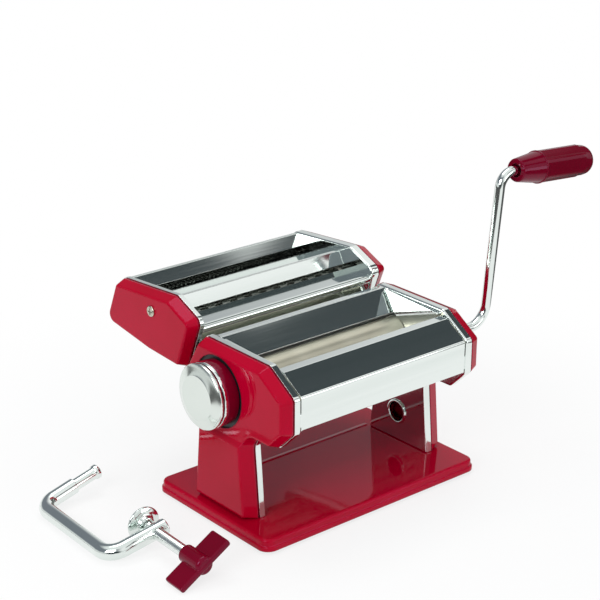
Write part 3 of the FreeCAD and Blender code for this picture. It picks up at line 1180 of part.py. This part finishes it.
def clamp_bar():
    """Round rod bent into a C: the screw's arm, the back, and the arm whose pin goes into the machine."""
    low_slope, high_slope = (math.tan(math.radians(a)) for a in (CLAMP_LOW_FLARE, CLAMP_HIGH_FLARE))
    low, high = (0.0, 0.0), (0.0, CLAMP_BACK)
    end = (CLAMP_LOW_ARM, -CLAMP_LOW_ARM * low_slope)
    shoulder = (CLAMP_SHOULDER, CLAMP_BACK + CLAMP_SHOULDER * high_slope)
    low_bend = bend_edges(low, end, high, CLAMP_BEND_R)
    high_bend = bend_edges(high, low, shoulder, CLAMP_BEND_R)
    points = [Vector(p[0], p[1], 0) for p in (end, *low_bend, *high_bend, shoulder)]
    rod = bent_rod(points, CLAMP_ROD_R)
    for centre, radius in ((points[0], 1.4), (points[7], 0.6)):
        rod = rod.makeFillet(radius, edges_where(rod, lambda e: e.BoundBox.Center.sub(centre).Length < 0.5))
    reach = (CLAMP_PIN - CLAMP_SHOULDER) / math.cos(math.radians(CLAMP_HIGH_FLARE))
    pin = turned_on(points[7], Vector(1, high_slope, 0).normalize(),
                    [(-1, 0), (-1, CLAMP_PIN_R), (reach - CLAMP_TIP, CLAMP_PIN_R),
                     (reach - CLAMP_TIP + 1.5, CLAMP_TIP_R), (reach - 1.0, CLAMP_TIP_R),
                     (reach, CLAMP_TIP_R - 1.0), (reach, 0)])
    bore = Part.makeCylinder(CLAMP_SCREW_R + RUN_FIT, 6 * CLAMP_ROD_R,
                             Vector(CLAMP_SCREW_AT, -3 * CLAMP_ROD_R, 0), Vector(0, 1, 0))
    return lay_clamp(rod.fuse(pin).cut(bore))


def clamp_screw():
    """Thread drawn as close rings, with a plain end inside the pad."""
    inner = CLAMP_SCREW_R - CLAMP_THREAD_DEPTH
    start, end = CLAMP_HUB_Y - HUB_SOCKET, CLAMP_PAD_Y - CLAMP_PAD * 0.4
    plain_pad = CLAMP_PAD + CLAMP_PAD_BOSS
    plain_hub = HUB_SOCKET + 0.5
    profile = [(0, 0), (0, inner)]
    count = int((end - start - plain_pad - plain_hub) / CLAMP_THREAD_PITCH)
    for i in range(count):
        d = plain_hub + i * CLAMP_THREAD_PITCH
        profile += [(d, inner), (d + CLAMP_THREAD_PITCH * 0.35, CLAMP_SCREW_R),
                    (d + CLAMP_THREAD_PITCH * 0.65, CLAMP_SCREW_R)]
    profile += [(plain_hub + count * CLAMP_THREAD_PITCH, inner), (end - start, inner), (end - start, 0)]
    return lay_clamp(turned_on(Vector(CLAMP_SCREW_AT, start, 0), Vector(0, 1, 0), profile))


def clamp_pad():
    """Swivelling pad: a dished disc with a boss behind it that holds the end of the screw."""
    inner = CLAMP_SCREW_R - CLAMP_THREAD_DEPTH + EASY_FIT
    boss, boss_r, rim = CLAMP_PAD_BOSS, CLAMP_PAD_BOSS_R, CLAMP_PAD_R
    full = boss + CLAMP_PAD
    start = CLAMP_PAD_Y - full
    socket = full - CLAMP_PAD * 0.4 + 0.3
    profile = [(0, inner), (0, boss_r - 1.4), (0.3, boss_r - 0.7), (1.0, boss_r - 0.1), (boss, boss_r),
               (boss + 0.6, boss_r + 0.3), (boss + 1.0, boss_r + 1.2), (boss + 1.4, rim - 3.0),
               (boss + 2.2, rim - 0.7), (boss + 2.6, rim - 0.1), (boss + 3.0, rim), (full - 0.3, rim),
               (full, rim - 0.4), (full, rim - 1.4), (full - 0.9, rim - 4.0), (full - 0.9, 0), (socket, 0),
               (socket, inner)]
    return lay_clamp(turned_on(Vector(CLAMP_SCREW_AT, start, 0), Vector(0, 1, 0), profile))


def clamp_wing_knob():
    """Round hub with a domed end and two flat wings."""
    x = CLAMP_SCREW_AT
    end = CLAMP_HUB_Y - CLAMP_HUB
    half = WING_THICK / 2
    hub = Part.makeCone(CLAMP_HUB_END_R, CLAMP_HUB_R, CLAMP_HUB, Vector(x, end, 0), Vector(0, 1, 0))
    hub = hub.makeFillet(HUB_DOME_R, [e for e in hub.Edges if abs(e.BoundBox.YMax - end) < 1e-3])
    hub = hub.makeFillet(1.2, [e for e in hub.Edges if abs(e.BoundBox.YMin - CLAMP_HUB_Y) < 1e-3])
    centre_y = CLAMP_HUB_Y - WING_AT
    wing = flat_slab([(x + side_x * WING_HALF_SPAN, centre_y + side_y * WING_LENGTH / 2, 1.8)
                      for side_x, side_y in ((-1, -1), (1, -1), (1, 1), (-1, 1))], -half, half)
    wing = wing.makeFillet(1.4, edges_where(wing, lambda e: at_level(e, "z", -half) or at_level(e, "z", half)))
    knob = hub.fuse(wing)
    knob.rotate(Vector(x, 0, 0), Vector(0, 1, 0), -WING_ANGLE)
    hole = Part.makeCylinder(CLAMP_SCREW_R - CLAMP_THREAD_DEPTH, 3 * HUB_SOCKET,
                             Vector(x, CLAMP_HUB_Y - HUB_SOCKET, 0), Vector(0, 1, 0))
    return lay_clamp(knob.cut(hole))


def build():
    places = cutter_roller_places()
    cover = right_cover_shell()
    left_hole = rod_x(KNOB_Y, ROLLER_AXIS_Z, KNOB_WELL_R, COVER_RIM, COVER_FACE + 1)
    right_hole = rod_x(FRONT_ROLLER_Y, ROLLER_AXIS_Z, CRANK_ROD_R + 1.6, COVER_RIM, COVER_FACE + 1)
    drives = (places["wide_cutter_front"], places["narrow_cutter_front"])
    plate = right_side_plate()
    return {
        "base_plate": base_plate(),
        "rubber_feet": rubber_feet(),
        "base_screws": base_screws(),
        "base_nuts": base_nuts(),
        "right_side_plate": plate,
        "left_side_plate": mirrored(plate),
        "right_end_cover": cover.cut(right_hole),
        "left_end_cover": mirrored(cover.cut(left_hole)),
        "cover_screws": cover_screws(),
        "front_cover": front_cover(),
        "hopper_plate": hopper_plate(),
        "feed_guides": feed_guides(),
        "roller_scrapers": roller_scrapers(),
        "tie_rods": tie_rods(),
        "tie_rod_nuts": tie_rod_nuts(),
        "clamp_sockets": clamp_sockets(),
        "front_roller_bushes": front_roller_bushes(),
        "adjuster_bearing": adjuster_bearing(),
        "index_plate": index_plate(),
        "front_roller": front_roller(),
        "front_roller_gear": roller_gear(FRONT_ROLLER_Y, False),
        "rear_roller": rear_roller(),
        "rear_roller_gear": roller_gear(REAR_ROLLER_Y, True),
        "left_carriage": left_carriage(),
        "right_carriage": right_carriage(),
        "carriage_bar": carriage_bar(),
        "adjuster_shaft": adjuster_shaft(),
        "knob_retainer": knob_retainer(),
        "knob_spring": knob_spring(),
        "knob_body": knob_body(),
        "knob_ring": knob_ring(),
        "knob_cap": knob_cap(),
        "stop_pin": stop_pin(),
        "crank_arm": crank_arm(),
        "crank_grip": crank_grip(),
        "cutter_right_plate": cutter_end_plate(CUTTER_GEAR_FLANGE),
        "cutter_left_plate": mirrored(cutter_end_plate(CUTTER_FLANGE)),
        "cutter_right_cap": cutter_cap(CUTTER_GEAR_FLANGE, drives),
        "cutter_left_cap": mirrored(cutter_cap(CUTTER_FLANGE, ())),
        "cap_screws": Part.makeCompound([cap_screw(CUTTER_GEAR_FLANGE), mirrored(cap_screw(CUTTER_FLANGE))]),
        "cutter_rear_plate": cutter_rear_plate(),
        "cutter_roof_plate": cutter_roof_plate(),
        "cutter_front_plate": cutter_front_plate(),
        "cutter_rods": cutter_rods(),
        "cutter_bushes": cutter_bushes(),
        "cutter_hangers": cutter_hangers(),
        "wide_combs": combs(WIDE_NIP_Y, WIDE_PITCH),
        "narrow_combs": combs(NARROW_NIP_Y, NARROW_PITCH),
        "wide_cutter_front": cutting_roller(places["wide_cutter_front"], WIDE_PITCH, True, True),
        "wide_cutter_rear": cutting_roller(places["wide_cutter_rear"], WIDE_PITCH, False, False),
        "narrow_cutter_front": cutting_roller(places["narrow_cutter_front"], NARROW_PITCH, True, True),
        "narrow_cutter_rear": cutting_roller(places["narrow_cutter_rear"], NARROW_PITCH, False, False),
        "wide_gear_front": cutter_gear(places["wide_cutter_front"], False),
        "wide_gear_rear": cutter_gear(places["wide_cutter_rear"], True),
        "narrow_gear_front": cutter_gear(places["narrow_cutter_front"], False),
        "narrow_gear_rear": cutter_gear(places["narrow_cutter_rear"], True),
        "clamp_bar": clamp_bar(),
        "clamp_screw": clamp_screw(),
        "clamp_pad": clamp_pad(),
        "clamp_wing_knob": clamp_wing_knob(),
    }


os.makedirs("parts", exist_ok=True)
for name, shape in build().items():
    solids = shape.Solids
    good = all(s.isValid() and s.Volume > 0 for s in solids)
    print("%-22s solids %2d valid %s volume %.0f" % (name, len(solids), good, sum(s.Volume for s in solids)))
    result = solids[0] if len(solids) == 1 else Part.makeCompound(solids)
    result.exportStep("parts/" + name + ".step")
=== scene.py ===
import math
import bpy
import bmesh
from mathutils import Matrix, Vector


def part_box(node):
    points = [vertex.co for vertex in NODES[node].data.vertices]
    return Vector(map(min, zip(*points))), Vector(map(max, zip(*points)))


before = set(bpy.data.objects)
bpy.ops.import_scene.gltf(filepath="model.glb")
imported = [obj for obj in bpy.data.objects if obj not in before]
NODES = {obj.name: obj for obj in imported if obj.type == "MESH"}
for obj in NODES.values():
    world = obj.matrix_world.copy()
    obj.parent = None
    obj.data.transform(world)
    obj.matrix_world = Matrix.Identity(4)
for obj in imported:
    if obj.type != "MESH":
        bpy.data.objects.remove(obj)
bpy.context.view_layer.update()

CAMERA_AZIMUTH, CAMERA_ELEVATION, CAMERA_ROLL = -40.22, 21.23, 0.32
CAMERA_PLACE = (-0.77281, -0.89008, 0.60680)
CAMERA_LENS = 103.3
SENSOR_WIDTH = 36.0

FLOOR_HALF = 6.0
FLOOR_COLOUR = (0.86, 0.86, 0.86, 1)
GLOW_NEAR = 0.78
GLOW_RISE = 0.22
FLAG_DEPTH = 0.9

WHITE = (1.0, 1.0, 1.0, 1)
PANEL_DARK = (0.030, 0.042, 0.048, 1)
WALL_BEHIND = (0.20, 0.22, 0.25, 1)
LOW_HAZE = (0.80, 0.82, 0.82, 1)
HIGH_SKY = (0.92, 0.94, 0.94, 1)
FRONT_RIGHT = (0.819, -0.574, 0.0)
PANEL_SHARE = 0.97

# Name, place, target, size and power of each lamp.
LAMPS = (
    ("key", (-1.55, -0.55, 1.0), (0, 0, 0.08), (1.1, 0.9), 18),
    ("top", (0.1, 0.5, 1.7), (0, 0, 0.1), (1.2, 0.6), 7),
    ("fill", (0.9, -1.7, 0.35), (0, 0, 0.1), (0.9, 0.5), 3),
)


def linear(r, g, b):
    """A colour given as it is seen, from 0 to 255, as Blender's linear values."""
    out = []
    for v in (r, g, b):
        v /= 255.0
        out.append(v / 12.92 if v <= 0.04045 else ((v + 0.055) / 1.055) ** 2.4)
    return (*out, 1.0)


def new_material(name):
    """An empty material with one Principled shader: the material, its tree and the shader."""
    mat = bpy.data.materials.new(name)
    mat.use_nodes = True
    tree = mat.node_tree
    tree.nodes.clear()
    out = tree.nodes.new("ShaderNodeOutputMaterial")
    shader = tree.nodes.new("ShaderNodeBsdfPrincipled")
    tree.links.new(shader.outputs[0], out.inputs[0])
    return mat, tree, shader


def noise(tree, scale, detail=3.0, stretch=(1, 1, 1), rough=0.5):
    """Noise in the piece's own place; stretch squeezes it along an axis."""
    coords = tree.nodes.new("ShaderNodeTexCoord")
    mapping = tree.nodes.new("ShaderNodeMapping")
    mapping.inputs["Scale"].default_value = stretch
    tex = tree.nodes.new("ShaderNodeTexNoise")
    tex.inputs["Scale"].default_value = scale
    tex.inputs["Detail"].default_value = detail
    tex.inputs["Roughness"].default_value = rough
    tree.links.new(coords.outputs["Object"], mapping.inputs[0])
    tree.links.new(mapping.outputs[0], tex.inputs[0])
    return tex.outputs[0]


def ramp(tree, source, stops):
    """A colour ramp through stops, each a (position, colour)."""
    node = tree.nodes.new("ShaderNodeValToRGB")
    node.color_ramp.elements[0].position = stops[0][0]
    node.color_ramp.elements[0].color = stops[0][1]
    node.color_ramp.elements[1].position = stops[-1][0]
    node.color_ramp.elements[1].color = stops[-1][1]
    for pos, col in stops[1:-1]:
        node.color_ramp.elements.new(pos).color = col
    tree.links.new(source, node.inputs[0])
    return node.outputs[0]


def span(tree, source, low, high):
    """A 0 to 1 value brought to low to high."""
    node = tree.nodes.new("ShaderNodeMapRange")
    node.inputs["To Min"].default_value = low
    node.inputs["To Max"].default_value = high
    tree.links.new(source, node.inputs[0])
    return node.outputs[0]


def soft_edges(tree, radius):
    """A normal that rounds each sharp edge, and a mask that is bright along the edges."""
    bevel = tree.nodes.new("ShaderNodeBevel")
    bevel.samples = 6
    bevel.inputs["Radius"].default_value = radius
    flat = tree.nodes.new("ShaderNodeNewGeometry")
    dot = tree.nodes.new("ShaderNodeVectorMath")
    dot.operation = "DOT_PRODUCT"
    tree.links.new(bevel.outputs[0], dot.inputs[0])
    tree.links.new(flat.outputs["True Normal"], dot.inputs[1])
    mask = tree.nodes.new("ShaderNodeMapRange")
    mask.inputs["From Min"].default_value = 0.98
    mask.inputs["From Max"].default_value = 0.80
    tree.links.new(dot.outputs["Value"], mask.inputs[0])
    return bevel.outputs[0], mask.outputs[0]


def mix(tree, factor, first, second):
    """Two colours, each a tuple or a socket, mixed by a socket or a number."""
    node = tree.nodes.new("ShaderNodeMix")
    node.data_type = "RGBA"
    for socket, value in ((node.inputs[0], factor), (node.inputs[6], first), (node.inputs[7], second)):
        if isinstance(value, (tuple, float)):
            socket.default_value = value
        else:
            tree.links.new(value, socket)
    return node.outputs[2]


def maths(tree, operation, first, second):
    """One Math node; each value is a socket or a number."""
    node = tree.nodes.new("ShaderNodeMath")
    node.operation = operation
    for socket, value in zip(node.inputs, (first, second)):
        if isinstance(value, (int, float)):
            socket.default_value = value
        else:
            tree.links.new(value, socket)
    return node.outputs[0]


def bump(tree, shader, source, strength, distance, normal):
    """Fine relief from source on top of a normal."""
    node = tree.nodes.new("ShaderNodeBump")
    node.inputs["Strength"].default_value = strength
    node.inputs["Distance"].default_value = distance
    tree.links.new(source, node.inputs["Height"])
    tree.links.new(normal, node.inputs["Normal"])
    tree.links.new(node.outputs[0], shader.inputs["Normal"])


def radius_marks(tree, centre, axis, scale):
    """Fine rings about an axis, as a lathe leaves them on a face."""
    coords = tree.nodes.new("ShaderNodeTexCoord")
    place = tree.nodes.new("ShaderNodeMapping")
    keep = [0.0 if abs(a) > 0.5 else 1.0 for a in axis]
    place.inputs["Location"].default_value = [-c * k for c, k in zip(centre, keep)]
    place.inputs["Scale"].default_value = keep
    tree.links.new(coords.outputs["Object"], place.inputs[0])
    length = tree.nodes.new("ShaderNodeVectorMath")
    length.operation = "LENGTH"
    tree.links.new(place.outputs[0], length.inputs[0])
    tex = tree.nodes.new("ShaderNodeTexNoise")
    tex.noise_dimensions = "1D"
    tex.inputs["Scale"].default_value = scale
    tex.inputs["Detail"].default_value = 4.0
    tree.links.new(length.outputs["Value"], tex.inputs["W"])
    return tex.outputs[0]


def paint(name, dark, light, edge_tone, rough, gloss, peel=0.05, edge_radius=0.0006, tint=(1, 1, 1, 1)):
    """Enamel or moulded plastic: slow drift of colour, fine scuffs, orange peel and paler edges."""
    mat, tree, shader = new_material(name)
    normal, edge = soft_edges(tree, edge_radius)
    drift = ramp(tree, noise(tree, 11.0, 3.0), [(0.3, dark), (0.7, light)])
    # Along the edges the colour turns paler, in noise patches.
    pale_edge_patches = maths(tree, "MULTIPLY", edge, span(tree, noise(tree, 90.0, 4.0), 0.0, 0.7))
    tree.links.new(mix(tree, pale_edge_patches, drift, edge_tone), shader.inputs["Base Color"])
    scuffs = noise(tree, 70.0, 6.0, (1, 3, 1), 0.7)
    tree.links.new(span(tree, scuffs, rough * 0.7, rough * 1.4), shader.inputs["Roughness"])
    shader.inputs["Specular IOR Level"].default_value = gloss
    shader.inputs["Specular Tint"].default_value = tint
    bump(tree, shader, noise(tree, 380.0, 2.0), peel, 0.0003, normal)
    return mat


def metal(name, dark, light, low, high, streak=(1, 1, 1), strength=0.02, marks=None):
    """Polished or brushed metal; streak stretches the polishing marks, marks puts rings in their place."""
    mat, tree, shader = new_material(name)
    normal, edge = soft_edges(tree, 0.0004)
    shader.inputs["Metallic"].default_value = 1.0
    lines = radius_marks(tree, *marks) if marks else noise(tree, 60.0, 5.0, streak)
    tone = ramp(tree, noise(tree, 8.0, 4.0, streak), [(0.3, dark), (0.7, light)])
    # Painted highlight: along every sharp edge the colour is mixed halfway towards near white.
    tree.links.new(mix(tree, maths(tree, "MULTIPLY", edge, 0.5), tone, (0.93, 0.95, 0.94, 1)),
                   shader.inputs["Base Color"])
    tree.links.new(span(tree, lines, low, high), shader.inputs["Roughness"])
    bump(tree, shader, lines, strength, 0.0002, normal)
    return mat


def middle(name):
    """The middle of a node's box."""
    low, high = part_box(name)
    return [(a + b) / 2 for a, b in zip(low, high)]


RED = paint("red_enamel", linear(162, 0, 28), linear(176, 1, 40), linear(214, 60, 96),
            0.05, 0.16, 0.03, 0.0016, (1.0, 0.55, 1.0, 1))
RED_PLASTIC = paint("dark_red_plastic", linear(98, 0, 22), linear(112, 1, 30), linear(170, 30, 66),
                    0.10, 0.26, 0.05, 0.0006, (1.0, 0.5, 0.9, 1))
CHROME = metal("polished_chrome", linear(222, 230, 226), linear(234, 240, 237), 0.05, 0.11, (0.5, 4, 4))
PLATE = metal("polished_sheet", linear(222, 230, 226), linear(236, 242, 239), 0.04, 0.10, (0.15, 7, 7), 0.015)
TURNED = metal("turned_chrome", linear(218, 226, 220), linear(232, 238, 233), 0.12, 0.26, strength=0.03,
               marks=(middle("knob_cap"), (1, 0, 0), 1800.0))
ROLLER = metal("roller_metal", linear(176, 172, 152), linear(214, 211, 194), 0.30, 0.42, (2, 1, 1), 0.05)
# Painted shade: the index plate is coloured near black so that the gap around the knob reads as shadow; it is
# not a blackened finish.
SHADE_BLACK = paint("painted_shade_black", linear(24, 25, 28), linear(34, 36, 39), linear(70, 72, 76), 0.34, 0.3, 0.06)
STEEL = metal("zinc_steel", linear(150, 152, 150), linear(176, 178, 176), 0.22, 0.38)
SCREW = metal("nickel_screw", linear(196, 194, 178), linear(214, 212, 198), 0.16, 0.30)
CUT = metal("cutter_steel", linear(176, 178, 172), linear(198, 200, 194), 0.18, 0.30, (9, 0.4, 0.4), 0.04)
RUBBER = paint("black_rubber", linear(20, 20, 21), linear(30, 30, 31), linear(52, 52, 54), 0.6, 0.3, 0.12)
NYLON = paint("nylon", linear(206, 202, 190), linear(222, 218, 208), linear(232, 230, 224), 0.40, 0.4, 0.10)

LOOKS = {
    RED: ["base_plate", "left_end_cover", "right_end_cover", "cutter_left_cap", "cutter_right_cap"],
    RED_PLASTIC: ["knob_body", "crank_grip", "clamp_wing_knob"],
    CHROME: ["left_side_plate", "right_side_plate", "clamp_sockets", "knob_ring", "crank_arm",
             "cutter_left_plate", "cutter_right_plate", "clamp_bar", "clamp_screw", "clamp_pad"],
    PLATE: ["front_cover", "hopper_plate", "feed_guides", "cutter_rear_plate", "cutter_roof_plate",
            "cutter_front_plate"],
    TURNED: ["knob_cap"],
    SCREW: ["cap_screws", "cover_screws"],
    ROLLER: ["front_roller", "rear_roller"],
    # index_plate takes the painted shade black, standing in for the shadow in the gap around the knob.
    SHADE_BLACK: ["index_plate"],
    STEEL: ["base_screws", "base_nuts", "tie_rods", "tie_rod_nuts", "adjuster_shaft", "knob_retainer",
            "stop_pin", "cutter_rods", "cutter_hangers", "roller_scrapers", "carriage_bar", "knob_spring"],
    CUT: ["wide_cutter_front", "wide_cutter_rear", "narrow_cutter_front", "narrow_cutter_rear",
          "wide_gear_front", "wide_gear_rear", "narrow_gear_front", "narrow_gear_rear"],
    RUBBER: ["rubber_feet"],
    NYLON: ["front_roller_bushes", "adjuster_bearing", "left_carriage", "right_carriage", "cutter_bushes",
            "wide_combs", "narrow_combs", "front_roller_gear", "rear_roller_gear"],
}

for mat, names in LOOKS.items():
    for name in names:
        obj = NODES[name]
        obj.data.materials.clear()
        obj.data.materials.append(mat)
        weld = obj.modifiers.new("weld", "WELD")
        weld.merge_threshold = 0.000002
        normals = obj.modifiers.new("normals", "WEIGHTED_NORMAL")
        normals.keep_sharp = True


def add_camera():
    """The camera that was fitted to the photograph's edges."""
    az, el, roll = (math.radians(a) for a in (CAMERA_AZIMUTH, CAMERA_ELEVATION, CAMERA_ROLL))
    back = Vector((math.sin(az) * math.cos(el), -math.cos(az) * math.cos(el), math.sin(el)))
    side = Vector((math.cos(az), math.sin(az), 0))
    up = back.cross(side)
    x_axis = side * math.cos(roll) + up * math.sin(roll)
    y_axis = up * math.cos(roll) - side * math.sin(roll)
    cam = bpy.data.objects.new("camera", bpy.data.cameras.new("camera"))
    cam.data.lens = CAMERA_LENS
    cam.data.sensor_width = SENSOR_WIDTH
    cam.data.clip_start = 0.05
    cam.data.clip_end = 20.0
    turn = Matrix((x_axis, y_axis, back)).transposed().to_4x4()
    cam.matrix_world = Matrix.Translation(CAMERA_PLACE) @ turn
    bpy.context.scene.collection.objects.link(cam)
    bpy.context.scene.camera = cam


def steps(tree, source, low, high):
    """0 below low and 1 above high, smooth between."""
    node = tree.nodes.new("ShaderNodeMapRange")
    node.interpolation_type = "SMOOTHSTEP"
    node.inputs["From Min"].default_value = low
    node.inputs["From Max"].default_value = high
    tree.links.new(source, node.inputs[0])
    return node.outputs[0]


def seen_or_mirrored(tree):
    """1 for camera rays and for those a shiny or clear surface sends on, else 0."""
    path = tree.nodes.new("ShaderNodeLightPath")
    total = maths(tree, "MAXIMUM", path.outputs["Is Camera Ray"], path.outputs["Is Glossy Ray"])
    return maths(tree, "MAXIMUM", total, path.outputs["Is Transmission Ray"])


def add_floor():
    """A pale plane that ends in the white around it; in the metal it is dark far out at both sides."""
    bm = bmesh.new()
    bmesh.ops.create_grid(bm, x_segments=1, y_segments=1, size=FLOOR_HALF)
    mesh = bpy.data.meshes.new("floor")
    bm.to_mesh(mesh)
    floor = bpy.data.objects.new("floor", mesh)
    mat, tree, shader = new_material("pale_floor")
    shader.inputs["Base Color"].default_value = FLOOR_COLOUR
    shader.inputs["Roughness"].default_value = 0.7
    shader.inputs["Specular IOR Level"].default_value = 0.2
    glow = tree.nodes.new("ShaderNodeEmission")
    glow.inputs["Strength"].default_value = 1.0
    place = tree.nodes.new("ShaderNodeNewGeometry")
    away = tree.nodes.new("ShaderNodeVectorMath")
    away.operation = "LENGTH"
    tree.links.new(place.outputs["Position"], away.inputs[0])
    split = tree.nodes.new("ShaderNodeSeparateXYZ")
    tree.links.new(place.outputs["Position"], split.inputs[0])
    beside = steps(tree, maths(tree, "ABSOLUTE", split.outputs["X"], 0.0), 0.36, 0.46)
    path = tree.nodes.new("ShaderNodeLightPath")
    flag = maths(tree, "MULTIPLY", maths(tree, "MULTIPLY", beside, path.outputs["Is Glossy Ray"]), FLAG_DEPTH)
    tree.links.new(maths(tree, "SUBTRACT", 1.0, flag), glow.inputs["Strength"])
    rise = maths(tree, "MULTIPLY", steps(tree, away.outputs["Value"], 0.16, 0.45), GLOW_RISE)
    share = maths(tree, "ADD", rise, GLOW_NEAR)
    blend = tree.nodes.new("ShaderNodeMixShader")
    tree.links.new(maths(tree, "MULTIPLY", seen_or_mirrored(tree), share), blend.inputs[0])
    tree.links.new(shader.outputs[0], blend.inputs[1])
    tree.links.new(glow.outputs[0], blend.inputs[2])
    tree.links.new(blend.outputs[0], tree.nodes["Material Output"].inputs[0])
    floor.data.materials.append(mat)
    bpy.context.scene.collection.objects.link(floor)


def add_lamp(name, place, target, size, power):
    lamp = bpy.data.objects.new(name, bpy.data.lights.new(name, "AREA"))
    lamp.data.shape = "RECTANGLE"
    lamp.data.size, lamp.data.size_y = size
    lamp.data.energy = power
    lamp.location = place
    lamp.rotation_euler = (Vector(target) - Vector(place)).to_track_quat("-Z", "Y").to_euler()
    bpy.context.scene.collection.objects.link(lamp)


def band(tree, source, low, high, soft):
    """1 between low and high, 0 outside, smooth over soft at both ends."""
    rise = steps(tree, source, low - soft, low + soft)
    fall = steps(tree, source, high + soft, high - soft)
    return maths(tree, "MULTIPLY", rise, fall)


def add_world():
    """A pale studio: dark panels high at the front right and above the crank, and a dimmer wall behind."""
    world = bpy.data.worlds.new("studio")
    bpy.context.scene.world = world
    world.use_nodes = True
    tree = world.node_tree
    coords = tree.nodes.new("ShaderNodeTexCoord")
    split = tree.nodes.new("ShaderNodeSeparateXYZ")
    tree.links.new(coords.outputs["Generated"], split.inputs[0])
    side = tree.nodes.new("ShaderNodeVectorMath")
    side.operation = "DOT_PRODUCT"
    side.inputs[1].default_value = FRONT_RIGHT
    tree.links.new(coords.outputs["Generated"], side.inputs[0])
    across, along, height = split.outputs["X"], split.outputs["Y"], split.outputs["Z"]
    front = side.outputs["Value"]
    turn = maths(tree, "ARCTAN2", across, maths(tree, "MULTIPLY", along, -1.0))
    wall = mix(tree, steps(tree, front, -0.2, 0.35), WALL_BEHIND, WHITE)
    low = mix(tree, steps(tree, height, 0.10, 0.30), LOW_HAZE, wall)
    sky = mix(tree, steps(tree, height, 0.70, 0.86), low, HIGH_SKY)
    facing = maths(tree, "MULTIPLY", band(tree, height, 0.508, 0.655, 0.014), steps(tree, front, 0.45, 0.60))
    gap = maths(tree, "MULTIPLY", steps(tree, height, 0.590, 0.600), steps(tree, turn, 0.800, 0.822))
    facing = maths(tree, "MULTIPLY", facing, maths(tree, "SUBTRACT", 1.0, gap))
    above = maths(tree, "MULTIPLY", band(tree, height, 0.660, 0.850, 0.02),
                  band(tree, along, -0.20, 0.12, 0.03))
    above = maths(tree, "MULTIPLY", above, steps(tree, across, 0.25, 0.40))
    beside = maths(tree, "MULTIPLY", band(tree, turn, 1.42, 1.95, 0.06), steps(tree, height, 0.70, 0.55))
    behind = maths(tree, "MULTIPLY", band(tree, turn, -1.35, -0.35, 0.20), steps(tree, height, 0.42, 0.34))
    overhead = maths(tree, "MAXIMUM", facing, above)
    dark = maths(tree, "MAXIMUM", overhead, maths(tree, "MAXIMUM", beside, behind))
    colour = mix(tree, maths(tree, "MULTIPLY", dark, PANEL_SHARE), sky, PANEL_DARK)
    back = tree.nodes["Background"]
    path = tree.nodes.new("ShaderNodeLightPath")
    tree.links.new(mix(tree, path.outputs["Is Camera Ray"], colour, WHITE), back.inputs[0])
    back.inputs[1].default_value = 1.0


def add_light():
    add_world()
    for lamp in LAMPS:
        add_lamp(*lamp)


add_camera()
add_floor()
add_light()
bpy.context.scene.view_settings.view_transform = "Standard"
